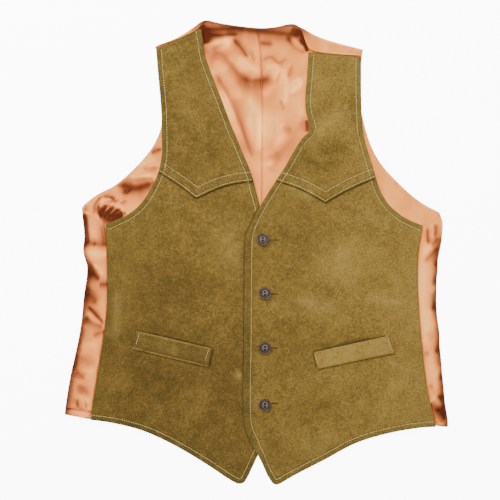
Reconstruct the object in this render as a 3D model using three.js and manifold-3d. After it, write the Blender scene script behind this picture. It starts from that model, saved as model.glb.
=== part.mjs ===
// A western vest lying flat on its back, front side up.
// Units are millimetres. +Z is up, +Y points to the neck and +X to the wearer's left.
// Left and right are the wearer's. Every outline is given as it is seen from above.

import * as THREE from 'three';
import { mergeVertices } from 'three/addons/utils/BufferGeometryUtils.js';
import Module from 'manifold-3d';

const wasm = await Module();
wasm.setup();

// Cloth

const SATIN = 1.0;          // wall of the satin back, and of its lining
const SUEDE = 2.2;          // wall of a suede panel, with its turned edge
const SEAM_GAP = 0.3;       // between two pieces that meet or lie on each other
const SHOULDER_SEAM_GAP = 0.9;      // of the back from the yokes, whose top edges bend more

// Heights above the surface that the vest lies on

const LINING_LEVEL = SATIN + SEAM_GAP;
const FRONT_LEVEL = LINING_LEVEL + SATIN + SEAM_GAP;
const SIDE_HEIGHT = 6.8;            // of the fold at the sides
const UNDERARM_HEIGHT = 4.2;        // of the same fold where it ends at the armhole
const SHOULDER_HEIGHT = 6.0;        // of the fold at the shoulders
const LEFT_NECK_HEIGHT = 7.2;       // of the left shoulder's fold at the neck

// The back neck stands up a little, less and less towards its ends and down the back
const NECK_RISE = { height: 3.0, depth: 34, centreX: -6, halfWidth: 66, fade: 44 };
const LINING_RISE = 1.12;           // of the lining there, for each millimetre of the back


// Trimmings

const YOKE_LAP = 12;                // of the yoke over the front
const BUTTON = {
  radius: 8.5, thickness: 3.4, rim: 1.5, dish: 0.9, dishSlope: 0.9, hole: 1.0, holeSpacing: 3.6,
  underCut: 1.2, underRise: 1.0, shoulder: 0.7, crown: 0.5, sides: 28, holeSides: 10,
};

// Outlines of the right front, which lies on the left of a picture from above

const rightSeam = [
  { x: -225, y: -228 }, { x: -216, y: -174 }, { x: -207, y: -120 }, { x: -202, y: -79 },
  { x: -201, y: -38 }, { x: -202, y: 3 }, { x: -204, y: 37 },
];
const rightArmhole = [
  { x: -204, y: 37 }, { x: -190, y: 43 }, { x: -174, y: 51 }, { x: -159, y: 63 }, { x: -147, y: 79 },
  { x: -137, y: 98 }, { x: -131, y: 114 }, { x: -128, y: 132 }, { x: -128, y: 152 }, { x: -129, y: 193 },
  { x: -133, y: 240 }, { x: -136, y: 276 },
];
const rightHem = [
  { x: -225, y: -228 }, { x: -197, y: -232 }, { x: -154, y: -243 }, { x: -110, y: -263 },
  { x: -67, y: -288 }, { x: -24, y: -316 },
];
const rightEdge = [
  { x: -24, y: -316 }, { x: -16, y: -314 }, { x: -8, y: -299 }, { x: 2, y: -278 }, { x: 15, y: -248 },
  { x: 21, y: -226 }, { x: 21, y: -100 }, { x: 21, y: 3 }, { x: 18, y: 27 },
];
const rightNeckline = [
  { x: 18, y: 27 }, { x: 5, y: 64 }, { x: -6, y: 105 }, { x: -18, y: 135 }, { x: -34, y: 173 },
  { x: -51, y: 218 }, { x: -62, y: 246 }, { x: -69, y: 267 }, { x: -72, y: 288 }, { x: -75, y: 303 },
];
const rightShoulder = [
  { x: -136, y: 276 }, { x: -112, y: 286 }, { x: -95, y: 293 }, { x: -75, y: 303 },
];
const rightYokeOuter = [{ x: -132, y: 109 }, { x: -102, y: 89 }, { x: -81, y: 73 }];
const rightYokeInner = [{ x: -81, y: 73 }, { x: -50, y: 87 }, { x: -28, y: 93 }, { x: -4, y: 96 }];

// Outlines of the left front, which laps over the right one

const leftSeam = [
  { x: 244, y: -237 }, { x: 235, y: -201 }, { x: 227, y: -147 }, { x: 222, y: -92 }, { x: 219, y: -38 },
  { x: 220, y: 3 }, { x: 226, y: 36 },
];
const leftArmhole = [
  { x: 226, y: 36 }, { x: 207, y: 44 }, { x: 194, y: 52 }, { x: 180, y: 65 }, { x: 169, y: 83 },
  { x: 158, y: 116 }, { x: 149, y: 147 }, { x: 145, y: 165 }, { x: 144, y: 183 }, { x: 143, y: 216 },
  { x: 143, y: 265 },
];
const leftHem = [
  { x: 28, y: -317 }, { x: 53, y: -306 }, { x: 93, y: -282 }, { x: 137, y: -258 }, { x: 184, y: -244 },
  { x: 226, y: -237 }, { x: 244, y: -237 },
];
const leftEdge = [
  { x: 28, y: -317 }, { x: 22, y: -314 }, { x: 9, y: -288 }, { x: -5, y: -261 }, { x: -15, y: -236 },
  { x: -17, y: -201 }, { x: -16, y: -120 }, { x: -15, y: 3 }, { x: -14, y: 22 },
];
const leftNeckline = [
  { x: -14, y: 22 }, { x: -1, y: 50 }, { x: 15, y: 78 }, { x: 37, y: 112 }, { x: 55, y: 143 },
  { x: 64, y: 156 }, { x: 72, y: 164 }, { x: 73, y: 172 }, { x: 69, y: 184 }, { x: 67, y: 196 },
  { x: 67, y: 216 }, { x: 69, y: 238 }, { x: 71, y: 271 },
];
const leftShoulder = [{ x: 71, y: 271 }, { x: 92, y: 269 }, { x: 114, y: 267 }, { x: 143, y: 265 }];
const leftYokeInner = [{ x: 27, y: 97 }, { x: 57, y: 87 }, { x: 75, y: 78 }, { x: 94, y: 67 }];
const leftYokeOuter = [{ x: 94, y: 67 }, { x: 124, y: 84 }, { x: 162, y: 101 }];

// Outlines of the satin back: the folds at its sides, its armholes, shoulders and neck

const rightFold = [
  { x: -261, y: -220 }, { x: -254, y: -174 }, { x: -242, y: -120 }, { x: -237, y: -90 }, { x: -234, y: -52 },
  { x: -229, y: -27 }, { x: -233, y: -8 }, { x: -234, y: 23 }, { x: -235, y: 58 },
];
const leftFold = [
  { x: 261, y: -238 }, { x: 256, y: -188 }, { x: 251, y: -133 }, { x: 246, y: -79 }, { x: 246, y: -52 },
  { x: 247, y: -7 }, { x: 251, y: 20 }, { x: 251, y: 53 },
];
const rightBackArmhole = [
  { x: -235, y: 58 }, { x: -231, y: 65 }, { x: -208, y: 80 }, { x: -185, y: 96 }, { x: -155, y: 125 },
  { x: -136, y: 150 }, { x: -127, y: 178 }, { x: -127, y: 205 }, { x: -131, y: 240 }, { x: -136, y: 277 },
];
const leftBackArmhole = [
  { x: 251, y: 53 }, { x: 239, y: 58 }, { x: 217, y: 73 }, { x: 190, y: 98 }, { x: 166, y: 125 },
  { x: 154, y: 152 }, { x: 146, y: 179 }, { x: 142, y: 205 }, { x: 142, y: 240 }, { x: 145, y: 276 },
];
const rightShoulderFold = [
  { x: -136, y: 277 }, { x: -119, y: 286 }, { x: -107, y: 292 }, { x: -86, y: 305 }, { x: -73, y: 314 },
];
const leftShoulderFold = [
  { x: 60, y: 305 }, { x: 71, y: 299 }, { x: 87, y: 292 }, { x: 102, y: 287 }, { x: 145, y: 276 },
];
const neckEdge = [
  { x: -73, y: 314 }, { x: -63, y: 314 }, { x: -47, y: 311 }, { x: -11, y: 306 }, { x: 12, y: 304 },
  { x: 29, y: 306 }, { x: 52, y: 308 }, { x: 60, y: 305 },
];
// Where the satin comes over a shoulder, its neck edge runs from the fold to the shoulder seam
const rightNeckReturn = [{ x: -73, y: 314 }, { x: -75.5, y: 304 }];
const leftNeckReturn = [{ x: 60, y: 305 }, { x: 66.5, y: 287 }, { x: 71, y: 272 }];
// The armhole edge of the satin that is folded over, from the side fold to the side seam
const rightUnderarm = [{ x: -235, y: 58 }, { x: -223, y: 49 }, { x: -212, y: 43 }, { x: -205, y: 37.5 }];
const leftUnderarm = [{ x: 251, y: 53 }, { x: 243, y: 45 }, { x: 236, y: 40 }, { x: 227, y: 37 }];

// The seam down the middle of the lining
const centreSeam = [{ x: 8, y: -223 }, { x: 8, y: 74 }, { x: 8, y: 216 }, { x: 6, y: 273 }, { x: 2, y: 303 }];

// Soft folds: a ridge where the height is positive, a trough where it is negative.
// turn is the direction of the fold, in degrees from +X towards +Y.

const liningFolds = [
  { name: 'ridge along the back neck', x: -45, y: 290, turn: 4, length: 70, width: 14, height: 1.6 },
  { name: 'right neck, upper', x: -20, y: 286, turn: -50, length: 60, width: 16, height: 1.8 },
  { name: 'right neck, beside the trough', x: -38, y: 262, turn: -52, length: 90, width: 22, height: 2.2 },
  { name: 'right neck, down to the V', x: -48, y: 222, turn: -55, length: 120, width: 22, height: 2.4 },
  { name: 'centre, upper', x: -4, y: 254, turn: -78, length: 60, width: 20, height: 2.0 },
  { name: 'left neck, level', x: 30, y: 262, turn: 8, length: 60, width: 18, height: 1.8 },
  { name: 'left neck, corner', x: 57, y: 276, turn: -52, length: 60, width: 12, height: 1.6 },
  { name: 'left neck, hanging', x: 33, y: 218, turn: 78, length: 70, width: 12, height: 1.8 },
  { name: 'left neck, hanging', x: 50, y: 214, turn: 72, length: 60, width: 12, height: 1.6 },
  { name: 'centre, long', x: -8, y: 165, turn: -76, length: 120, width: 24, height: 2.2 },
  { name: 'left of the V, slanting', x: 36, y: 158, turn: 50, length: 70, width: 20, height: 1.8 },
  { name: 'level, low in the V', x: 14, y: 122, turn: 6, length: 34, width: 12, height: 1.4 },
  { name: 'right armhole, upper', x: -146, y: 114, turn: 20, length: 44, width: 15, height: 1.8 },
  { name: 'right armhole, middle', x: -172, y: 84, turn: 12, length: 70, width: 14, height: 1.8 },
  { name: 'right armhole, above the gathers', x: -192, y: 72, turn: -16, length: 50, width: 8, height: 2.4 },
  { name: 'right armhole, round the gathers', x: -220, y: 56, turn: 74, length: 30, width: 8, height: 2.4 },
  { name: 'left armhole', x: 186, y: 84, turn: -48, length: 70, width: 18, height: 1.4 },
  { name: 'left armhole, at the side', x: 226, y: 55, turn: -28, length: 40, width: 12, height: 1.4 },
];
// Small gathers in the lining at the right underarm, side by side
const GATHERS = {
  count: 7, start: { x: -212, y: 49 }, end: { x: -182, y: 57 },
  turn: 55, length: 20, width: 2.6, height: 1.3,
};
const backFolds = [
  { name: 'right side, level', x: -220, y: 6, turn: -8, length: 34, width: 9, height: -1.0 },
  { name: 'right side, slanting', x: -221, y: -29, turn: -52, length: 26, width: 8, height: -1.4 },
  { name: 'right side, steep', x: -220, y: -62, turn: -65, length: 24, width: 8, height: -1.2 },
  { name: 'right side, long', x: -218, y: -86, turn: -50, length: 32, width: 7, height: -1.2 },
  { name: 'right side, low', x: -236, y: -178, turn: -40, length: 36, width: 14, height: -0.9 },
  { name: 'left side, pleat by the seam', x: 232, y: 26, turn: 88, length: 24, width: 7, height: -1.4 },
  { name: 'left side, pleat by the fold', x: 243, y: 36, turn: 88, length: 22, width: 7, height: -1.4 },
  { name: 'left side, slanting', x: 236, y: 0, turn: 45, length: 34, width: 9, height: -0.9 },
  { name: 'left side, notch', x: 241, y: -70, turn: 60, length: 24, width: 10, height: -1.0 },
  { name: 'left side, low', x: 250, y: -222, turn: -30, length: 34, width: 12, height: -1.0 },
];
const frontFolds = [
  { name: 'left strap, ridge', x: 92, y: 158, turn: 42, length: 70, width: 26, height: 1.5 },
  { name: 'left strap, neck edge', x: 70, y: 205, turn: 90, length: 60, width: 18, height: 1.2 },
  { name: 'left shoulder, at the neck', x: 76, y: 270, turn: 0, length: 70, width: 60, height: 1.2 },
  { name: 'right front, below the armhole', x: -150, y: 0, turn: 60, length: 160, width: 60, height: 0.7 },
  { name: 'right front, over the hip', x: -100, y: -190, turn: 20, length: 140, width: 70, height: 0.6 },
  { name: 'left front, below the armhole', x: 150, y: -10, turn: -60, length: 160, width: 60, height: 0.7 },
  { name: 'left front, over the hip', x: 110, y: -190, turn: -20, length: 140, width: 70, height: 0.6 },
];

// Curves

const SAMPLES = { profile: 60, lineOfLining: 12, neckOfLining: 24, underButton: 8 };
const BISECTIONS = 30;

const point = (x, y) => new THREE.Vector2(x, y);
const degrees = THREE.MathUtils.degToRad;

function smoothCurve(table) {
  const points = table.map(({ x, y }) => new THREE.Vector3(x, y, 0));
  return new THREE.CatmullRomCurve3(points, false, 'centripetal');
}

function steps(table, count) {
  return smoothCurve(table).getSpacedPoints(count).map(({ x, y }) => point(x, y));
}

// Part of a curve that climbs in y all the way, between two heights
function stepsBetween(table, fromY, toY, count) {
  const curve = smoothCurve(table);
  const shareAt = (y) => {
    let low = 0;
    let high = 1;
    for (let pass = 0; pass < BISECTIONS; pass += 1) {
      const middle = (low + high) / 2;
      if (curve.getPointAt(middle).y < y) low = middle;
      else high = middle;
    }
    return (low + high) / 2;
  };
  const from = shareAt(fromY);
  const to = shareAt(toY);
  return Array.from({ length: count + 1 }, (_, i) => {
    const { x, y } = curve.getPointAt(from + ((to - from) * i) / count);
    return point(x, y);
  });
}

// A curve as a function: the value of one coordinate at a place along the other
function profile(points, along, value) {
  const samples = points.map((p) => ({ at: along(p), is: value(p) })).sort((a, b) => a.at - b.at);
  return (at) => {
    if (at <= samples[0].at) return samples[0].is;
    const next = samples.findIndex((sample) => sample.at > at);
    if (next < 0) return samples[samples.length - 1].is;
    const [before, after] = [samples[next - 1], samples[next]];
    return before.is + ((after.is - before.is) * (at - before.at)) / (after.at - before.at);
  };
}

const xOf = (table) => profile(steps(table, SAMPLES.profile), (p) => p.y, (p) => p.x);
const yOf = (table) => profile(steps(table, SAMPLES.profile), (p) => p.x, (p) => p.y);

const join = (...parts) => parts.flatMap((part, i) => (i === 0 ? part : part.slice(1)));
const moved = (points, dx, dy) => points.map((p) => point(p.x + dx, p.y + dy));
const mix = (a, b, share) => a.clone().lerp(b, share);
const smooth = (value) => THREE.MathUtils.smoothstep(value, 0, 1);

// Offsets a line of points to its left-hand side
function offset(points, distance) {
  return points.map((p, i) => {
    const before = points[Math.max(i - 1, 0)];
    const after = points[Math.min(i + 1, points.length - 1)];
    const direction = after.clone().sub(before).normalize();
    return point(p.x - direction.y * distance, p.y + direction.x * distance);
  });
}

// Relief: rounded across the fold, level along it and fading at both ends

const FOLD_FALL = 1.5;

function softFold({ x, y, turn, length, width, height }) {
  const cos = Math.cos(degrees(turn));
  const sin = Math.sin(degrees(turn));
  return (p) => {
    const along = ((p.x - x) * cos + (p.y - y) * sin) / (length / 2);
    const across = ((p.y - y) * cos - (p.x - x) * sin) / (width / 2);
    return height * Math.exp(-FOLD_FALL * across ** 2 - along ** 4);
  };
}

function relief(table) {
  const folds = table.map(softFold);
  return (p) => folds.reduce((sum, fold) => sum + fold(p), 0);
}

function gatherTable({ count, start, end, ...fold }) {
  return Array.from({ length: count }, (_, i) => {
    const place = mix(point(start.x, start.y), point(end.x, end.y), i / (count - 1));
    return { x: place.x, y: place.y, ...fold };
  });
}

// Panels: a grid of points stretched between four edges, and a wall laid on the grid

const evenShares = (count) => Array.from({ length: count + 1 }, (_, k) => k / count);

function stretch(bottom, top, left, right, shares = evenShares(bottom.length - 1)) {
  const columns = bottom.length - 1;
  const rows = left.length - 1;
  return left.map((leftPoint, j) => bottom.map((bottomPoint, i) => {
    const u = shares[i];
    const v = j / rows;
    const across = mix(leftPoint, right[j], u);
    const up = mix(bottomPoint, top[i], v);
    const corners = mix(mix(bottom[0], bottom[columns], u), mix(top[0], top[columns], u), v);
    return across.add(up).sub(corners);
  }));
}

function wall(grid, lower, upper) {
  const rows = grid.length;
  const columns = grid[0].length;
  const positions = [];
  for (const surface of [lower, upper]) {
    for (const row of grid) {
      for (const p of row) positions.push(...surface(p).toArray());
    }
  }
  const low = (j, i) => j * columns + i;
  const high = (j, i) => low(j, i) + rows * columns;
  const index = [];
  const quad = (a, b, c, d) => index.push(a, b, c, a, c, d);
  for (let j = 0; j < rows - 1; j += 1) {
    for (let i = 0; i < columns - 1; i += 1) {
      quad(high(j, i), high(j, i + 1), high(j + 1, i + 1), high(j + 1, i));
      quad(low(j, i), low(j + 1, i), low(j + 1, i + 1), low(j, i + 1));
    }
  }
  for (let i = 0; i < columns - 1; i += 1) {
    quad(low(0, i), low(0, i + 1), high(0, i + 1), high(0, i));
    quad(low(rows - 1, i + 1), low(rows - 1, i), high(rows - 1, i), high(rows - 1, i + 1));
  }
  for (let j = 0; j < rows - 1; j += 1) {
    quad(low(j + 1, 0), low(j, 0), high(j, 0), high(j + 1, 0));
    quad(low(j, columns - 1), low(j + 1, columns - 1), high(j + 1, columns - 1), high(j, columns - 1));
  }
  const geometry = new THREE.BufferGeometry();
  geometry.setAttribute('position', new THREE.Float32BufferAttribute(positions, 3));
  geometry.setIndex(index);
  geometry.computeVertexNormals();
  return geometry;
}

// A wall of one thickness whose underside has the given height
const panelWall = (grid, bottomAt, thickness) => wall(
  grid,
  (p) => new THREE.Vector3(p.x, p.y, bottomAt(p)),
  (p) => new THREE.Vector3(p.x, p.y, bottomAt(p) + thickness),
);

// A fold: flat cloth that passes its outline bends up and over, and lies on top of itself.
// The outline is where the bend reaches furthest, seen from above.

function makeFold(outline, outward, heightAt) {
  const out = outward.clone().normalize();
  const side = point(-out.y, out.x);
  const rim = profile(steps(outline, SAMPLES.profile), (p) => p.dot(side), (p) => p.dot(out));
  const at = (p) => {
    const along = p.dot(side);
    const radius = heightAt(p) / 2;
    return { along, radius, middle: radius - SATIN / 2, start: rim(along) - radius };
  };
  const place = (along, across) => side.clone().multiplyScalar(along).addScaledVector(out, across);
  return {
    out,
    // How far a flat point lies past the start of the bend
    past: (p) => p.dot(out) - at(p).start,
    bendLength: (p) => Math.PI * at(p).middle,
    startOf: (p) => place(at(p).along, at(p).start),
    // Flat point to folded place, at a depth inside the cloth
    lay(p, depth) {
      const { along, radius, middle, start } = at(p);
      const past = p.dot(out) - start;
      if (past <= 0) return new THREE.Vector3(p.x, p.y, depth);
      const angle = Math.min(past / middle, Math.PI);
      const reach = start + (radius - depth) * Math.sin(angle) - Math.max(0, past - Math.PI * middle);
      const flat = place(along, reach);
      return new THREE.Vector3(flat.x, flat.y, radius - (radius - depth) * Math.cos(angle));
    },
    // Place seen on top, back to the flat cloth
    unlay(p) {
      const { along, radius, middle, start } = at(p);
      const reach = p.dot(out) - start;
      const angle = Math.PI - Math.asin(THREE.MathUtils.clamp(reach / radius, 0, 1));
      return place(along, start + middle * angle + Math.max(0, -reach));
    },
  };
}

// Heights of the folds

const UNDERARM_TAPER = 28;
const cornerY = { right: rightFold.at(-1).y, left: leftFold.at(-1).y };
function sideHeight(p) {
  const toCorner = smooth(1 - (cornerY[p.x < 0 ? 'right' : 'left'] - p.y) / UNDERARM_TAPER);
  return THREE.MathUtils.lerp(SIDE_HEIGHT, UNDERARM_HEIGHT, toCorner);
}
const rightShoulderHeight = () => SHOULDER_HEIGHT;
const leftShoulderHeight = (p) => {
  const [tipX, neckSideX] = [leftShoulderFold.at(-1).x, leftShoulderFold[1].x];
  return THREE.MathUtils.lerp(SHOULDER_HEIGHT, LEFT_NECK_HEIGHT, smooth((tipX - p.x) / (tipX - neckSideX)));
};
const chordNormal = (table) => {
  const first = table[0];
  const last = table[table.length - 1];
  return point(first.y - last.y, last.x - first.x);
};
const folds = {
  right: makeFold(rightFold, point(-1, 0), sideHeight),
  left: makeFold(leftFold, point(1, 0), sideHeight),
  rightShoulder: makeFold(rightShoulderFold, chordNormal(rightShoulderFold), rightShoulderHeight),
  leftShoulder: makeFold(leftShoulderFold, chordNormal(leftShoulderFold), leftShoulderHeight),
};

// Heights of the layers

const neckY = yOf(neckEdge);
function neckRise(p) {
  const { height, depth, centreX, halfWidth, fade } = NECK_RISE;
  const fromEdge = smooth(1 - (neckY(p.x) - p.y) / depth);
  const fromCentre = smooth((halfWidth - Math.abs(p.x - centreX)) / fade);
  return height * fromEdge * fromCentre;
}

// Under the fronts the lining is pressed flat: how far a point lies inside what shows of it
const SHOWING = { reach: 16, under: 6, armholePoints: 8 };
const neckX = { right: xOf(rightNeckline), left: xOf(leftNeckline) };
const lowerArmhole = (underarm, table) => (
  yOf([...underarm.slice(0, -1), ...table.slice(0, SHOWING.armholePoints)])
);
const armhole = {
  right: { x: xOf(rightArmhole), y: lowerArmhole(rightUnderarm, rightArmhole) },
  left: { x: xOf(leftArmhole), y: lowerArmhole(leftUnderarm, leftArmhole) },
};
function insideCorner(across, above) {
  if (across <= 0 || above <= 0) return Math.min(across, above);
  return (across * above) / Math.hypot(across, above);
}
function showing(p) {
  const inNeck = Math.min(p.x - neckX.right(p.y), neckX.left(p.y) - p.x);
  const inRightArmhole = insideCorner(armhole.right.x(p.y) - p.x, p.y - armhole.right.y(p.x));
  const inLeftArmhole = insideCorner(p.x - armhole.left.x(p.y), p.y - armhole.left.y(p.x));
  return smooth((Math.max(inNeck, inRightArmhole, inLeftArmhole) + SHOWING.under) / SHOWING.reach);
}

const liningRelief = relief([...liningFolds, ...gatherTable(GATHERS)]);
const liningBottom = (p) => LINING_LEVEL + LINING_RISE * neckRise(p) + liningRelief(p) * showing(p);

const seamX = { right: xOf(rightSeam), left: xOf(leftSeam) };
const frontRelief = relief(frontFolds);
const PUFF = { base: 1.2, atSeam: 0.8, seamReach: 45, fadeAboveSeam: 60 };
const SEAM_TOP = rightSeam[rightSeam.length - 1].y;

// Below the hem of the back the points of the fronts come down to the surface
const HEM_DROP = { clear: 4, slope: 84 };
const backHemY = profile([rightFold[0], leftFold[0]], (p) => p.x, (p) => p.y);
const pastHem = (p) => smooth((backHemY(p.x) - HEM_DROP.clear - p.y) / HEM_DROP.slope);

// The fronts lie on the lining with a little air, and rise to the side folds
function frontBottom(p) {
  const fromSeam = Math.max(0, Math.min(p.x - seamX.right(p.y), seamX.left(p.y) - p.x));
  const toSeam = Math.exp(-((fromSeam / PUFF.seamReach) ** 2));
  const below = 1 - smooth((p.y - SEAM_TOP) / PUFF.fadeAboveSeam);
  const onBack = FRONT_LEVEL + PUFF.base + PUFF.atSeam * toSeam * below + frontRelief(p);
  return onBack * (1 - pastHem(p));
}

// The left front also lies on the right front's hidden edge
const LAP = { clear: 18, slope: 24 };
const rightEdgeX = xOf([...rightEdge, ...rightNeckline.slice(1)]);
function leftFrontBottom(p) {
  const onRight = 1 - smooth((p.x - rightEdgeX(p.y) - LAP.clear) / LAP.slope);
  return frontBottom(p) + (SUEDE + SEAM_GAP) * onRight;
}

const YOKE_STEP = { clear: 8, slope: 14, lift: 0.15 };

// A yoke lies on the front as far as the front reaches under it, and on the lining beyond
function yokeBottom(frontUnder, yokeLineY) {
  return (p) => {
    const aboveEdge = p.y - yokeLineY(p.x);
    const onFront = 1 - smooth((aboveEdge - YOKE_LAP - YOKE_STEP.clear) / YOKE_STEP.slope);
    return frontUnder(p) + YOKE_STEP.lift + (SUEDE + SEAM_GAP) * onFront;
  };
}

// Pieces

const materials = {
  suede: new THREE.MeshStandardMaterial({ color: '#8d7440', roughness: 0.95, metalness: 0 }),
  satin: new THREE.MeshStandardMaterial({ color: '#e2a480', roughness: 0.4, metalness: 0 }),
  lining: new THREE.MeshStandardMaterial({ color: '#dd9a72', roughness: 0.4, metalness: 0 }),
  button: new THREE.MeshStandardMaterial({ color: '#3b2a20', roughness: 0.35, metalness: 0 }),
};

const vest = new THREE.Group();

function addPiece(name, geometry, material) {
  const mesh = new THREE.Mesh(geometry, material);
  mesh.name = name;
  vest.add(mesh);
  return mesh;
}

// Fronts: the top edge runs under the yoke, parallel to its lower edge

const FRONT_ROWS = { body: 12, underYoke: 6 };
const FRONT_COLUMNS = { outer: 5, inner: 7 };

function frontGrid({ seam, armhole, hem, edge, neckline, yokeOuter, yokeInner, wearerRight }) {
  const outerTopY = (wearerRight ? yokeOuter[0] : yokeOuter[yokeOuter.length - 1]).y + YOKE_LAP;
  const innerTopY = (wearerRight ? yokeInner[yokeInner.length - 1] : yokeInner[0]).y + YOKE_LAP;
  const sideRail = join(
    steps(seam, FRONT_ROWS.body),
    stepsBetween(armhole, armhole[0].y, outerTopY, FRONT_ROWS.underYoke),
  );
  const edgeRail = join(
    steps(edge, FRONT_ROWS.body),
    stepsBetween(neckline, neckline[0].y, innerTopY, FRONT_ROWS.underYoke),
  );
  const columns = FRONT_COLUMNS.outer + FRONT_COLUMNS.inner;
  const bottom = steps(hem, columns);
  const outer = steps(yokeOuter, FRONT_COLUMNS.outer);
  const inner = steps(yokeInner, FRONT_COLUMNS.inner);
  const top = moved(wearerRight ? join(outer, inner) : join(inner, outer), 0, YOKE_LAP);
  const [left, right] = wearerRight ? [sideRail, edgeRail] : [edgeRail, sideRail];
  top[0] = left[left.length - 1].clone();
  top[columns] = right[right.length - 1].clone();
  return stretch(bottom, top, left, right);
}

const rightFrontGrid = frontGrid({
  seam: rightSeam, armhole: rightArmhole, hem: rightHem, edge: rightEdge, neckline: rightNeckline,
  yokeOuter: rightYokeOuter, yokeInner: rightYokeInner, wearerRight: true,
});
const leftFrontGrid = frontGrid({
  seam: leftSeam, armhole: leftArmhole, hem: leftHem, edge: leftEdge, neckline: leftNeckline,
  yokeOuter: leftYokeOuter, yokeInner: leftYokeInner, wearerRight: false,
});
addPiece('front_right', panelWall(rightFrontGrid, frontBottom, SUEDE), materials.suede);
addPiece('front_left', panelWall(leftFrontGrid, leftFrontBottom, SUEDE), materials.suede);

// Yokes

const YOKE_ROWS = 12;

function yokeGrid({ armhole, neckline, shoulder, yokeOuter, yokeInner, wearerRight }) {
  const outerY = (wearerRight ? yokeOuter[0] : yokeOuter[yokeOuter.length - 1]).y;
  const innerY = (wearerRight ? yokeInner[yokeInner.length - 1] : yokeInner[0]).y;
  const armholeRail = stepsBetween(armhole, outerY, armhole[armhole.length - 1].y, YOKE_ROWS);
  const neckRail = stepsBetween(neckline, innerY, neckline[neckline.length - 1].y, YOKE_ROWS);
  const outer = steps(yokeOuter, FRONT_COLUMNS.outer);
  const inner = steps(yokeInner, FRONT_COLUMNS.inner);
  const bottom = wearerRight ? join(outer, inner) : join(inner, outer);
  const columns = bottom.length - 1;
  const top = steps(shoulder, columns);
  const [left, right] = wearerRight ? [armholeRail, neckRail] : [neckRail, armholeRail];
  bottom[0] = left[0].clone();
  bottom[columns] = right[0].clone();
  top[0] = left[YOKE_ROWS].clone();
  top[columns] = right[YOKE_ROWS].clone();
  return stretch(bottom, top, left, right);
}

const rightYokeLine = yOf([...rightYokeOuter, ...rightYokeInner.slice(1)]);
const leftYokeLine = yOf([...leftYokeInner, ...leftYokeOuter.slice(1)]);
const rightYokeGrid = yokeGrid({
  armhole: rightArmhole, neckline: rightNeckline, shoulder: rightShoulder,
  yokeOuter: rightYokeOuter, yokeInner: rightYokeInner, wearerRight: true,
});
const leftYokeGrid = yokeGrid({
  armhole: leftArmhole, neckline: leftNeckline, shoulder: leftShoulder,
  yokeOuter: leftYokeOuter, yokeInner: leftYokeInner, wearerRight: false,
});
const rightYokeBottom = yokeBottom(frontBottom, rightYokeLine);
const leftYokeBottom = yokeBottom(leftFrontBottom, leftYokeLine);
addPiece('yoke_right', panelWall(rightYokeGrid, rightYokeBottom, SUEDE), materials.suede);
addPiece('yoke_left', panelWall(leftYokeGrid, leftYokeBottom, SUEDE), materials.suede);

// Pocket welts, sewn on the fronts

const WELT = { columns: 8, rows: 2, lift: 0.15, thickness: 1.8 };
const welts = [
  {
    name: 'welt_right', front: frontBottom,
    lowOuter: { x: -168, y: -131 }, lowInner: { x: -64, y: -156 },
    highOuter: { x: -162, y: -107 }, highInner: { x: -59, y: -131 },
  },
  {
    name: 'welt_left', front: leftFrontBottom,
    lowInner: { x: 83, y: -159 }, lowOuter: { x: 188, y: -137 },
    highInner: { x: 78, y: -136 }, highOuter: { x: 179, y: -114 },
  },
];
for (const { name, front, lowOuter, lowInner, highOuter, highInner } of welts) {
  const [lowLeft, lowRight] = lowOuter.x < lowInner.x ? [lowOuter, lowInner] : [lowInner, lowOuter];
  const [highLeft, highRight] = highOuter.x < highInner.x ? [highOuter, highInner] : [highInner, highOuter];
  const grid = stretch(
    steps([lowLeft, lowRight], WELT.columns),
    steps([highLeft, highRight], WELT.columns),
    steps([lowLeft, highLeft], WELT.rows),
    steps([lowRight, highRight], WELT.rows),
  );
  const bottomAt = (p) => front(p) + SUEDE + SEAM_GAP + WELT.lift;
  addPiece(name, panelWall(grid, bottomAt, WELT.thickness), materials.suede);
}

// Back: drawn as the flat pattern that is cut, then folded round the sides and over the shoulders

const BACK = { seamRows: 12, underarmRows: 4, armholeRows: 11 };
const TOP = { shoulder: 3, rightReturn: 1, neck: 7, leftReturn: 2 };
const SIDE_STRIP = { onTop: 5, bend: 4 };
const SHOULDER_STRIP = { onTop: 2, bend: 4 };
const EDGE_BAND = 8;         // from an edge that isn't folded to the first line inside it

// Shares of the way from the edge of the cloth to the start of the bend
function stripShares(pastEdge, bendLength, { onTop, bend }) {
  const topShare = (pastEdge - bendLength) / pastEdge;
  if (!(pastEdge > 0 && topShare > 0)) return evenShares(onTop + bend);
  const overTop = evenShares(onTop).map((share) => share * topShare);
  const roundBend = evenShares(bend).map((share) => topShare + share * (1 - topShare));
  return join(overTop, roundBend);
}

// One side, from the hem up: the edge of the pattern, and the line where the bend starts
function backSide({ seam, underarm, fold, outline, backArmhole, outward }) {
  const seamEdge = steps(seam, BACK.seamRows).map((p) => point(p.x + outward * SEAM_GAP, p.y));
  const underarmEdge = steps([...underarm].reverse(), BACK.underarmRows);
  underarmEdge[0] = seamEdge[BACK.seamRows];
  const armholeEdge = steps(backArmhole, BACK.armholeRows);
  const edge = join(join(seamEdge, underarmEdge).map((p) => fold.unlay(p)), armholeEdge);
  const armholeBand = offset(armholeEdge, outward * EDGE_BAND);
  const foldLine = steps(outline, BACK.seamRows + BACK.underarmRows).map((p) => fold.startOf(p));
  foldLine[foldLine.length - 1] = armholeBand[0];
  return { edge, inner: join(foldLine, armholeBand) };
}

const rightSide = backSide({
  seam: rightSeam, underarm: rightUnderarm, fold: folds.right, outline: rightFold,
  backArmhole: rightBackArmhole, outward: -1,
});
const leftSide = backSide({
  seam: leftSeam, underarm: leftUnderarm, fold: folds.left, outline: leftFold,
  backArmhole: leftBackArmhole, outward: 1,
});

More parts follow.
